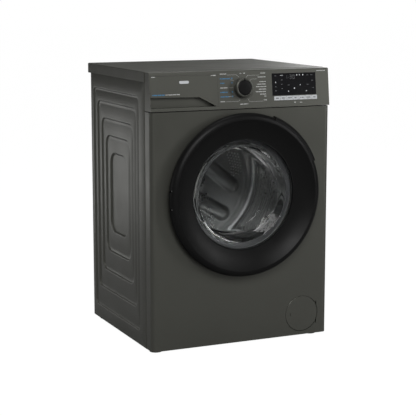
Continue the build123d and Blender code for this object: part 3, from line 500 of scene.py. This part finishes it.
# Drum: rolled mouth, perforated wall, pressed back and three lifters
DRUM_R, DRUM_F0, DRUM_F1 = 240.0, 92.0, 374.0
MOUTH = [
    (161.5, 66.6), (158.5, 68.2), (158, 71), (160, 73.4), (163, 73.4), (165.5, 71.6), (200, 75.2),
    (223.6, 78), (235, 83.6), (239, 92.4), (240, 92.4), (236, 82), (224, 76.4), (200, 73.4), (166, 69.6),
    (164, 67.2),
]
lathe("drum_mouth", softened(MOUTH, 2), POLISHED, "drum",
      slot="stainless", stands_for=("drum_shell",), sharp=50.0)

WALL_CELLS = 78
HOLE_SIDES = 8
HOLE_R = 1.9
LIFTER_ANGLES = (30.0, 150.0, 270.0)
PLAIN_BAND = 22.0  # degrees either side of a lifter with no holes


def on_wall(turn, depth, radius=DRUM_R - 1.0):
    return place(radius * math.cos(turn), depth, AXIS_Z + radius * math.sin(turn))


def perforated_wall():
    """The drum's wall as staggered cells, each with a hole pressed outwards or plain."""
    shape = Shape()
    uvs = []
    known = {}
    pitch = 2 * math.pi / WALL_CELLS
    arc_mm = pitch * DRUM_R
    rows = round((DRUM_F1 - DRUM_F0) / (arc_mm * 0.92))
    height = (DRUM_F1 - DRUM_F0) / rows

    def vertex(turn, depth, radius=DRUM_R - 1.0):
        key = (round(turn / pitch * 2 * 1000) % (WALL_CELLS * 2000), round(depth * 1000), round(radius * 10))
        if key not in known:
            known[key] = len(shape.points)
            shape.points.append(on_wall(turn, depth, radius))
            uvs.append((turn * DRUM_R * MM, depth * MM))
        return known[key]

    for row in range(rows):
        depth = DRUM_F0 + height * (row + 0.5)
        for cell in range(WALL_CELLS):
            turn = pitch * (cell + 0.5 * (row % 2))
            angle = math.degrees(turn) % 360
            near = min(abs((angle - lifter + 180) % 360 - 180) for lifter in LIFTER_ANGLES)
            left, right = turn - pitch / 2, turn + pitch / 2
            low, high = depth - height / 2, depth + height / 2
            rim = [
                vertex(right, depth), vertex(right, high), vertex(turn, high), vertex(left, high),
                vertex(left, depth), vertex(left, low), vertex(turn, low), vertex(right, low),
            ]
            if near < PLAIN_BAND or not 0 < row < rows - 1:
                shape.faces.append(tuple(rim))
                continue
            rings = []
            for radius, hole in (
                (DRUM_R - 1.0, HOLE_R + 1.0), (DRUM_R - 0.7, HOLE_R), (DRUM_R + 0.6, HOLE_R),
            ):
                ring = []
                for side in range(HOLE_SIDES):
                    spin = 2 * math.pi * side / HOLE_SIDES
                    across = hole * math.cos(spin) / DRUM_R
                    along = hole * math.sin(spin)
                    ring.append(len(shape.points))
                    shape.points.append(on_wall(turn + across, depth + along, radius))
                    uvs.append(((turn + across) * DRUM_R * MM, (depth + along) * MM))
                rings.append(ring)
            shape.bridge(rim, rings[0])
            shape.bridge(rings[0], rings[1])
            shape.bridge(rings[1], rings[2])
    return shape, uvs


wall, wall_uvs = perforated_wall()
piece("drum_wall", wall.points, wall.faces, DRUM_LOOK, "drum", slot="stainless", sharp=40.0, uvs=wall_uvs)

LOBES = (((20, 71), (150, -37)), ((-10, -54), (116, -130)))
LOBE_R, LOBE_RISE = 25.0, 15.0
HUB_R, HUB_RISE = 46.0, 8.0
RIM_R, RIM_RISE = 205.0, 3.0
BACK_F = 391.0  # depth of the drum's flat back
BACK_STEPS = 192
BACK_SHEET = 0.8


def lobe_rise(x, z, start, end):
    """The height of one long finger pressed forward, from its centre line outwards."""
    dx, dz = end[0] - start[0], end[1] - start[1]
    share = ((x - start[0]) * dx + (z - start[1]) * dz) / (dx * dx + dz * dz)
    share = min(1.0, max(0.0, share))
    gap = math.hypot(x - start[0] - dx * share, z - start[1] - dz * share)
    side = min(1.0, gap / LOBE_R)
    return LOBE_RISE * (0.25 + 0.75 * share) * (1 - side * side) ** 0.8


def back_relief(radius, angle):
    """How far the drum's back stands forward at a point of it, in millimetres."""
    x = radius * math.cos(math.radians(angle))
    z = radius * math.sin(math.radians(angle))
    lobes = max(lobe_rise(sign * x, sign * z, start, end) for start, end in LOBES for sign in (1, -1))
    hub = HUB_RISE / (1 + math.exp((radius - HUB_R) / 4))
    edge = RIM_RISE * math.exp(-(((radius - RIM_R) / 6) ** 2))
    return lobes + hub + edge


def pressed_back():
    """The drum's back: a curved rim, then rings that follow the relief in to the middle."""
    shape = Shape()
    rings = []
    curve = [(DRUM_R - 1, 374), (238.2, 379), (235, 384), (230.5, 388), (225, 390.2), (218, BACK_F)]
    radii = [213 - 4.5 * step for step in range(47)]
    for radius, depth in curve + [(radius, BACK_F) for radius in radii]:
        ring = []
        for step in range(BACK_STEPS):
            angle = 360 * step / BACK_STEPS
            lift = back_relief(radius, angle) if depth == BACK_F else 0.0
            turn = math.radians(angle)
            ring.append(place(radius * math.cos(turn), depth - lift, AXIS_Z + radius * math.sin(turn)))
        rings.append(shape.loop(ring))
    for a, b in zip(rings, rings[1:]):
        shape.bridge(b, a)
    shape.cap(rings[-1])
    return shape


back = pressed_back()
back_wall = piece("drum_back_wall", back.points, back.faces, POLISHED, "drum", slot="stainless",
                  stands_for=("drum_back",), sharp=50.0)
back_sheet = back_wall.modifiers.new("sheet", "SOLIDIFY")
back_sheet.thickness = BACK_SHEET * MM
back_sheet.offset = 1.0


def dome(shape, x, depth, z, radius, rise, sides=8, rings=3):
    """A small raised dimple that faces the front."""
    previous = None
    for level in range(rings):
        share = level / rings
        reach = radius * math.cos(share * math.pi / 2)
        lift = rise * math.sin(share * math.pi / 2)
        ring = shape.loop([
            place(x + reach * math.cos(2 * math.pi * i / sides), depth - lift,
                  z + reach * math.sin(2 * math.pi * i / sides))
            for i in range(sides)
        ])
        if previous:
            shape.bridge(ring, previous)
        previous = ring
    top = shape.loop([place(x, depth - rise, z)])[0]
    for i in range(sides):
        shape.faces.append((previous[(i + 1) % sides], previous[i], top))


DIMPLE_PATCHES = (15, 105, 195, 285)  # degrees
DIMPLE_LINES, DIMPLE_R0, DIMPLE_PITCH = 5, 150.0, 8.6
DIMPLE_GAP = 10.0
DIMPLE_R, DIMPLE_RISE = 3.3, 2.6
dimples = Shape()
for middle in DIMPLE_PATCHES:
    for line in range(DIMPLE_LINES):
        radius = DIMPLE_R0 + DIMPLE_PITCH * line
        for column in range(-5, 6):
            offset = (column + 0.5 * (line % 2)) * DIMPLE_GAP
            angle = math.radians(middle) + offset / radius
            relief = back_relief(radius, math.degrees(angle))
            if abs(offset) < 50 and relief < 2:
                x, z = radius * math.cos(angle), AXIS_Z + radius * math.sin(angle)
                dome(dimples, x, BACK_F + 0.2 - relief, z, DIMPLE_R, DIMPLE_RISE)
# The dimples wear the lighter steel, a painted highlight on top of the real glints of their bumps.
piece("drum_back_dimples", dimples.points, dimples.faces, GLINT_PAINTED_STEEL, "drum", slot="stainless")


LIFTER_HEIGHT, LIFTER_HALF, LIFTER_SWAY = 46.0, 33.0, 7.0


def lifters():
    """Three smooth lifters with flared feet and rounded noses."""
    shape = Shape()
    across, along = 24, 44
    f0, f1 = DRUM_F0 + 2, DRUM_F1 - 2
    for angle in LIFTER_ANGLES:
        turn = math.radians(angle)
        top, base = [], []
        for i in range(along + 1):
            share = i / along
            depth = f0 + (f1 - f0) * share
            ends = min(share, 1 - share) * (f1 - f0)
            swell = math.sqrt(max(0.0, 1 - max(0.0, 1 - ends / LIFTER_HEIGHT) ** 2))
            half = LIFTER_HALF * (0.72 + 0.28 * swell)
            upper, lower = [], []
            for j in range(across + 1):
                u = -half + 2 * half * j / across
                share_u = min(1.0, abs(u) / half)
                height = LIFTER_HEIGHT * swell * (1 - share_u ** 1.7) ** 1.5
                sway = LIFTER_SWAY * math.sin(share * math.pi * 2)
                radius = DRUM_R - 1.2 - height
                side = u + sway * (height / LIFTER_HEIGHT)
                upper.append(place(
                    radius * math.cos(turn) - side * math.sin(turn), depth,
                    AXIS_Z + radius * math.sin(turn) + side * math.cos(turn)))
                lower.append(on_wall(turn + u / DRUM_R, depth, DRUM_R - 0.6))
            top.append(shape.loop(upper))
            base.append(shape.loop(lower))
        for rows, flip in ((top, False), (base, True)):
            for a, b in zip(rows, rows[1:]):
                if flip:
                    shape.bridge(b, a, closed=False)
                else:
                    shape.bridge(a, b, closed=False)
        for a, b in zip(top, top[1:]):
            low_a, low_b = base[top.index(a)], base[top.index(b)]
            shape.faces.append((a[0], b[0], low_b[0], low_a[0]))
            shape.faces.append((b[-1], a[-1], low_a[-1], low_b[-1]))
        shape.bridge(base[0], top[0], closed=False)
        shape.bridge(top[-1], base[-1], closed=False)
    return shape


lifter_shape = lifters()
piece("drum_lifters", lifter_shape.points, lifter_shape.faces, POLISHED, "drum", slot="stainless",
      stands_for=("drum_paddles",), sharp=60.0)


# Soft links between the cabinet and the floating tub: bellows hoses and coil springs
def bellows_hose(name, node, x, depth, z0, z1, folds):
    """An upright hose with plain cuffs and a run of folds between them."""
    cuff = 18.0
    pitch = (z1 - z0 - 2 * cuff) / folds
    outer = [(20.4, z0), (20.4, z0 + cuff - 2)]
    for fold in range(folds):
        start = z0 + cuff + pitch * fold
        outer.extend([(18.5, start), (18.5, start + pitch * 0.3), (20.4, start + pitch * 0.5)])
        outer.append((20.4, start + pitch * 0.8))
    outer.extend([(20.4, z1 - cuff + 2), (20.4, z1)])
    outline = outer + [(17.3, z1), (17.3, z0)]
    shape = Shape()
    around = 40
    rings = [
        shape.loop([
            place(x + r * math.cos(2 * math.pi * i / around),
                  depth + r * math.sin(2 * math.pi * i / around), z)
            for i in range(around)
        ])
        for r, z in outline
    ]
    for a, b in zip(rings, rings[1:] + rings[:1]):
        shape.bridge(a, b)
    return piece(name, shape.points, shape.faces, LOOKS["black_rubber"], None,
                 slot="black_rubber", stands_for=(node,), sharp=80.0)


fill_bellows = bellows_hose("fill_bellows", "fill_hose", -190.0, 200.0, 667.0, 740.0, 5)
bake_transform(fill_bellows)
sump_bellows = bellows_hose("sump_bellows", "sump_hose", 130.0, 95.0, 106.0, 241.0, 13)
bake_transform(sump_bellows)

SPRING_X, SPRING_F, SPRING_Z0, SPRING_Z1 = 255.0, 300.0, 580.0, 790.0
COIL_R, WIRE_R, COIL_TURNS, COIL_STEPS = 7.1, 1.7, 38, 16


def wire(shape, path, radius, sides=8):
    """A round wire along a path of millimetre points, closed at both ends."""
    spots = [Vector(point) for point in path]
    across = Vector((1.0, 0.0, 0.0))
    rings = []
    for i, spot in enumerate(spots):
        along = (spots[min(i + 1, len(spots) - 1)] - spots[max(i - 1, 0)]).normalized()
        across = (across - along * across.dot(along)).normalized()
        other = along.cross(across)
        ring = []
        for k in range(sides):
            turn = 2 * math.pi * k / sides
            ring.append(place(*(spot + (across * math.cos(turn) + other * math.sin(turn)) * radius)))
        rings.append(shape.loop(ring))
    for a, b in zip(rings, rings[1:]):
        shape.bridge(a, b)
    shape.cap(rings[0][::-1])
    shape.cap(rings[-1])


def coil_path(x):
    """The wire's path: a straight tail, a coil that opens and closes gently, and a second tail."""
    low, high = SPRING_Z0 + 18, SPRING_Z1 - 18
    path = [(x, SPRING_F, SPRING_Z0), (x, SPRING_F, SPRING_Z0 + 8)]
    count = COIL_TURNS * COIL_STEPS
    for i in range(count + 1):
        share = i / count
        opening = min(1.0, i / COIL_STEPS, (count - i) / COIL_STEPS)
        turn = 2 * math.pi * i / COIL_STEPS
        reach = COIL_R * math.sin(opening * math.pi / 2)
        path.append((
            x + reach * math.cos(turn), SPRING_F + reach * math.sin(turn), low + (high - low) * share))
    path.extend([(x, SPRING_F, SPRING_Z1 - 8), (x, SPRING_F, SPRING_Z1 + 3.5)])
    return path


coils = Shape()
for x in (-SPRING_X, SPRING_X):
    wire(coils, coil_path(x), WIRE_R)
coil_springs = piece("coil_springs", coils.points, coils.faces, LOOKS["steel"], None,
                     slot="steel", stands_for=("suspension_springs",), sharp=60.0)
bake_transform(coil_springs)


# Controls: knob, printed marks, display and button symbols
def fascia_lathe(name, outline, look, body, x=KNOB_X, z=KNOB_Z, steps=96, **options):
    """A (radius, out) outline turned about an axis square to the leaning panel, open at the panel."""
    shape = Shape()
    rings = []
    for radius, out in outline:
        count = steps if radius > ON_AXIS else 1
        rings.append(shape.loop([
            on_fascia(
                x + radius * math.cos(2 * math.pi * i / steps),
                z + radius * math.sin(2 * math.pi * i / steps) * math.cos(LEAN), out)
            for i in range(count)
        ]))
    for a, b in zip(rings, rings[1:]):
        if len(b) == 1:
            for i in range(steps):
                shape.faces.append((a[i], a[(i + 1) % steps], b[0]))
        else:
            shape.bridge(a, b)
    return piece(name, shape.points, shape.faces, look, body, **options)


def fascia_plate(shape, outline, low, high):
    """A thin plate on the panel from an outline of (x, z)."""
    shape.slab([on_fascia(x, z, low) for x, z in outline], [on_fascia(x, z, high) for x, z in outline])


def pill(x0, x1, z0, z1, radius=None, steps=3):
    """A rounded rectangle of (x, z), anticlockwise from the front."""
    radius = min(x1 - x0, z1 - z0) / 2 if radius is None else radius
    outline = []
    for x, z, start in ((x1, z1, 0), (x0, z1, 90), (x0, z0, 180), (x1, z0, 270)):
        centre = (x - radius if x == x1 else x + radius, z - radius if z == z1 else z + radius)
        outline.extend(arc(centre, radius * 0.999, start, start + 90, steps))
    return outline


INK_LOW, INK_HIGH = 0.02, 0.14
STROKES = (1.5, 0.9, 1.2, 1.7, 1.0, 1.3, 0.8, 1.6)


def dashes(shape, x0, x1, z, height, low=INK_LOW, high=INK_HIGH, seed=0):
    """A row of short bars of uneven width, as printed legends look from a distance."""
    x, turn = x0, seed
    while x < x1 - 0.4:
        width = min(STROKES[turn % len(STROKES)], x1 - x)
        tall = height if turn % 3 else height * 0.8
        fascia_plate(shape, pill(x, x + width, z - tall / 2, z + tall / 2, 0.25, 2), low, high)
        x += width + (1.5 if turn % 7 == 6 else 0.45)
        turn += 1


def leader(shape, points, width=0.45):
    """A thin line of straight stretches."""
    for (xa, za), (xb, zb) in zip(points, points[1:]):
        length = math.hypot(xb - xa, zb - za)
        nx, nz = -(zb - za) / length * width / 2, (xb - xa) / length * width / 2
        outline = [(xa - nx, za - nz), (xb - nx, zb - nz), (xb + nx, zb + nz), (xa + nx, za + nz)]
        fascia_plate(shape, outline, INK_LOW, INK_HIGH)


SKIRT = [
    (28.4, 0.4), (29.0, 1.2), (28.8, 9.0), (28.0, 16.6), (27.2, 17.8), (26.0, 18.4), (23.6, 18.5),
    (22.9, 18.1), (22.5, 17.2), (22.5, 15.2),
]
CAP = [(22.4, 15.4), (22.2, 16.6), (21.4, 17.3), (19.0, 17.6), (12.0, 17.9), (0.0, 18.1)]
fascia_lathe("knob_skirt", SKIRT, LOOKS["knob_rim"], "program_knob", slot="fascia_plastic",
             stands_for=("program_knob",), sharp=50.0)
fascia_lathe("knob_cap", CAP, LOOKS["black_gloss"], "program_knob", slot="black_gloss", sharp=60.0)
pointer = Shape()
fascia_plate(pointer, [(KNOB_X - 3.6, KNOB_Z + 21.0), (KNOB_X + 3.6, KNOB_Z + 21.0),
                       (KNOB_X + 0.5, KNOB_Z + 28.0), (KNOB_X - 0.5, KNOB_Z + 28.0)], 15.0, 18.9)
piece("knob_pointer", pointer.points, pointer.faces, LOOKS["black_gloss"], "program_knob", slot="black_gloss")
grip_marks = Shape()
for number in range(36):
    turn = 2 * math.pi * number / 36
    reach = 29.0
    x = KNOB_X + reach * math.cos(turn)
    z = KNOB_Z + reach * math.sin(turn) * math.cos(LEAN)
    dx, dz = 0.35 * math.sin(turn), -0.35 * math.cos(turn)
    out_x, out_z = 0.25 * math.cos(turn), 0.25 * math.sin(turn)
    fascia_plate(grip_marks, [(x - dx - out_x, z - dz - out_z), (x - dx + out_x, z - dz + out_z),
                              (x + dx + out_x, z + dz + out_z), (x + dx - out_x, z + dz - out_z)], 1.5, 8.8)
piece("knob_grips", grip_marks.points, grip_marks.faces, LOOKS["knob_rim"], "program_knob",
      slot="fascia_plastic")

WHITE_ROWS = (  # x from, x to, z
    (-71, -49, 839), (-71, -46, 798), (-72, -58, 757.5), (64, 80, 838.5), (55, 81, 827), (59, 81, 813),
    (51, 81.5, 805.6), (48, 82, 798.2), (57, 82, 790.6), (46, 81.5, 783.2), (61, 81, 775.6),
    (74.5, 82, 769.4), (72, 83, 758), (-5, 0, 839.3), (6.5, 13, 839.8), (-7, 19, 748), (257, 287, 840.8),
    (175, 181, 747.4), (195.5, 203, 746.6),
)
BLUE_ROWS = ((-71.5, -39, 825), (-70, -57, 812), (-71.7, -48, 785), (-72.4, -42, 771.6))
LEADERS = (
    ((-47, 836), (-16.5, 835.6), (-7, 828)),
    ((60, 833), (21, 833), (15, 826)),
    ((52, 822), (33.5, 821.5), (27, 816)),
    ((-56, 756.7), (-12, 757), (-8, 763)),
    ((70, 754.5), (25, 754.8), (19, 763)),
    ((-37, 822), (-26, 818)),
    ((-40, 798), (-29, 798)),
    ((-45, 771.5), (-26, 774)),
)
white_print = Shape()
for number, (x0, x1, z) in enumerate(WHITE_ROWS):
    dashes(white_print, x0, x1, z, 2.4, seed=number)
for points in LEADERS:
    leader(white_print, points)
piece("white_legends", white_print.points, white_print.faces, WHITE_INK, "cabinet")
blue_print = Shape()
for number, (x0, x1, z) in enumerate(BLUE_ROWS):
    dashes(blue_print, x0, x1, z, 2.8, seed=number + 3)
    fascia_plate(blue_print, pill(-33.2, -30.4, z - 1.5, z + 2.6, 1.2), INK_LOW, INK_HIGH)
piece("blue_legends", blue_print.points, blue_print.faces, BLUE_INK, "cabinet")

drawer_white = Shape()
dashes(drawer_white, -290, -278.6, 835.6, 2.2, seed=1)
dashes(drawer_white, -100, -83.5, 835.9, 2.2, seed=4)
dashes(drawer_white, -248.5, -203, 783.2, 2.2, seed=2)
piece("drawer_white_legends", drawer_white.points, drawer_white.faces, WHITE_INK, "drawer")
drawer_blue = Shape()
dashes(drawer_blue, -290.3, -251, 783.2, 3.2, seed=5)
piece("drawer_blue_legend", drawer_blue.points, drawer_blue.faces, BLUE_INK, "drawer")
plate = Shape()
fascia_plate(plate, pill(-203, -172.5, 814.4, 822.6, 3.2, 6), 0.0, 0.7)
piece("drawer_name_plate", plate.points, plate.faces, LOOKS["silver_plastic"], "drawer",
      slot="silver_plastic")

SEGMENTS = {"0": "abcdef", "1": "bc", "2": "abged", "3": "abgcd", "5": "afgcd"}


def digit(shape, symbol, x, z, width=6.4, height=12.4, stroke=1.0):
    half = height / 2
    bars = {
        "a": (x, x + width, z + half - stroke, z + half), "d": (x, x + width, z - half, z - half + stroke),
        "g": (x, x + width, z - stroke / 2, z + stroke / 2),
        "f": (x, x + stroke, z + 0.6, z + half - 1.2), "e": (x, x + stroke, z - half + 1.2, z - 0.6),
        "b": (x + width - stroke, x + width, z + 0.6, z + half - 1.2),
        "c": (x + width - stroke, x + width, z - half + 1.2, z - 0.6),
    }
    for name in SEGMENTS[symbol]:
        fascia_plate(shape, pill(*bars[name]), INK_LOW, INK_HIGH)


dim_signs = Shape()
for symbol, x in (("1", 148.0), ("3", 163.0), ("0", 173.5)):
    digit(dim_signs, symbol, x, 824.5)
for z in (822.0, 827.0):
    fascia_plate(dim_signs, pill(159.2, 160.4, z - 0.6, z + 0.6), INK_LOW, INK_HIGH)
for x, z in ((112, 829), (112, 796), (112, 784), (133, 816), (133, 803), (133, 790), (222, 829), (236, 829),
             (156, 800), (222, 800), (240, 790), (238, 812)):
    dashes(dim_signs, x, x + 5.5, z, 2.0, seed=int(z))
piece("display_dim_signs", dim_signs.points, dim_signs.faces, DIM_INK, "cabinet")
lit_signs = Shape()
for x, z, size in ((188.1, 829.9, 1.9), (197.3, 830, 1.6), (208.7, 829.8, 1.9), (114.6, 809.4, 1.6),
                   (198.6, 799.7, 1.4), (178.1, 790, 2.0), (157.7, 781.2, 1.6), (219.4, 781, 1.6)):
    spot = pill(x - size * 0.8, x + size * 0.8, z - size, z + size, size * 0.5)
    fascia_plate(lit_signs, spot, INK_LOW, INK_HIGH)
dashes(lit_signs, 131, 140, 829.9, 1.8, seed=3)
piece("display_lit_signs", lit_signs.points, lit_signs.faces, LIT_INK, "cabinet")

for number in range(BUTTON_COUNT):
    centre = BUTTON_X0 + number * BUTTON_PITCH
    symbol = Shape()
    top = 1.4
    reach = 5.0 + (number % 3)
    dashes(symbol, centre - reach, centre + reach, BUTTON_Z + 0.2, 3.4, top + INK_LOW, top + INK_HIGH, number)
    if number % 2:
        dashes(symbol, centre - 3, centre + 3, BUTTON_Z - 3.4, 1.2, top + INK_LOW, top + INK_HIGH, number + 2)
    piece(f"button_{number + 1}_symbol", symbol.points, symbol.faces, DARK_INK, f"button_{number + 1}")


# Camera, floor and light
CAMERA_PLACE = Vector((-1.69225, -3.73791, 1.09701))
CAMERA_AZIMUTH = math.radians(-24.37)
CAMERA_ELEVATION = math.radians(9.75)

camera_data = bpy.data.cameras.new("camera")
camera_data.lens = 111.72
camera_data.sensor_width = 36.0
camera = bpy.data.objects.new("camera", camera_data)
bpy.context.scene.collection.objects.link(camera)
away = Vector((
    math.sin(CAMERA_AZIMUTH) * math.cos(CAMERA_ELEVATION),
    -math.cos(CAMERA_AZIMUTH) * math.cos(CAMERA_ELEVATION),
    math.sin(CAMERA_ELEVATION),
))
camera.matrix_world = Matrix.Translation(CAMERA_PLACE) @ away.to_track_quat("Z", "Y").to_matrix().to_4x4()
bpy.context.scene.camera = camera

floor_mesh = bpy.data.meshes.new("floor")
REACH = 30.0
floor_mesh.from_pydata(
    [(-REACH, -REACH, 0), (REACH, -REACH, 0), (REACH, REACH, 0), (-REACH, REACH, 0)], [], [(0, 1, 2, 3)]
)
floor = bpy.data.objects.new("floor", floor_mesh)
bpy.context.scene.collection.objects.link(floor)
floor_look, floor_shader = new_look("floor_look", (0.3, 0.3, 0.3), 0.9)
paper = place_texture(floor_look, "ShaderNodeTexNoise", 3.0)
tint(floor_look, floor_shader, paper.outputs["Fac"], (0.28, 0.28, 0.28), (0.31, 0.31, 0.31))
lit = floor_look.node_tree.nodes.new("ShaderNodeEmission")
lit.inputs["Color"].default_value = (1.0, 1.0, 1.0, 1.0)
lit.inputs["Strength"].default_value = 1.06
seen = floor_look.node_tree.nodes.new("ShaderNodeLightPath")
share = floor_look.node_tree.nodes.new("ShaderNodeMath")
share.operation = "MULTIPLY"
share.inputs[1].default_value = 0.94
blend = floor_look.node_tree.nodes.new("ShaderNodeMixShader")
floor_links = floor_look.node_tree.links
floor_links.new(seen.outputs["Is Camera Ray"], share.inputs[0])
floor_links.new(share.outputs["Value"], blend.inputs["Fac"])
floor_links.new(floor_shader.outputs["BSDF"], blend.inputs[1])
floor_links.new(lit.outputs["Emission"], blend.inputs[2])
floor_links.new(blend.outputs["Shader"], floor_look.node_tree.nodes["Material Output"].inputs["Surface"])
floor_mesh.materials.append(floor_look)

world = bpy.data.worlds.new("studio")
bpy.context.scene.world = world
world.use_nodes = True
world_nodes = world.node_tree.nodes
dim = world_nodes["Background"]
dim.inputs["Color"].default_value = (1.0, 1.0, 1.0, 1.0)
dim.inputs["Strength"].default_value = 0.07
pale = world_nodes.new("ShaderNodeBackground")
pale.inputs["Color"].default_value = (1.0, 1.0, 1.0, 1.0)
pale.inputs["Strength"].default_value = 1.0
world_path = world_nodes.new("ShaderNodeLightPath")
world_mix = world_nodes.new("ShaderNodeMixShader")
world.node_tree.links.new(world_path.outputs["Is Camera Ray"], world_mix.inputs["Fac"])
world.node_tree.links.new(dim.outputs["Background"], world_mix.inputs[1])
world.node_tree.links.new(pale.outputs["Background"], world_mix.inputs[2])
world.node_tree.links.new(world_mix.outputs["Shader"], world_nodes["World Output"].inputs["Surface"])


def softbox(name, at, towards, width, height, watts, colour=(1.0, 1.0, 1.0)):
    light = bpy.data.lights.new(name, "AREA")
    light.shape = "RECTANGLE"
    light.size = width
    light.size_y = height
    light.energy = watts
    light.color = colour
    lamp = bpy.data.objects.new(name, light)
    lamp.visible_camera = False
    lamp.visible_transmission = False
    bpy.context.scene.collection.objects.link(lamp)
    aim = Vector(at) - Vector(towards)
    lamp.matrix_world = Matrix.Translation(Vector(at)) @ aim.to_track_quat("Z", "Y").to_matrix().to_4x4()


softbox("key_light", (-1.3, -3.6, 3.0), (0.0, 0.0, 0.45), 2.6, 2.0, 136.0)
softbox("side_light", (-3.4, 1.0, 1.2), (-0.3, 0.1, 0.4), 1.6, 1.4, 12.0)
softbox("side_low_light", (-1.15, 2.0, 0.29), (-0.3, 0.05, 0.45), 0.8, 0.56, 1.75)
softbox("top_light", (0.0, 0.9, 3.4), (0.0, 0.0, 0.8), 2.4, 2.4, 38.0)
softbox("rear_light", (2.6, 3.0, 2.2), (0.1, 0.3, 0.4), 1.2, 1.2, 20.0)
softbox("right_light", (2.8, -2.6, 1.6), (0.1, -0.1, 0.4), 0.9, 2.2, 46.0)

bpy.context.scene.view_settings.view_transform = "Standard"
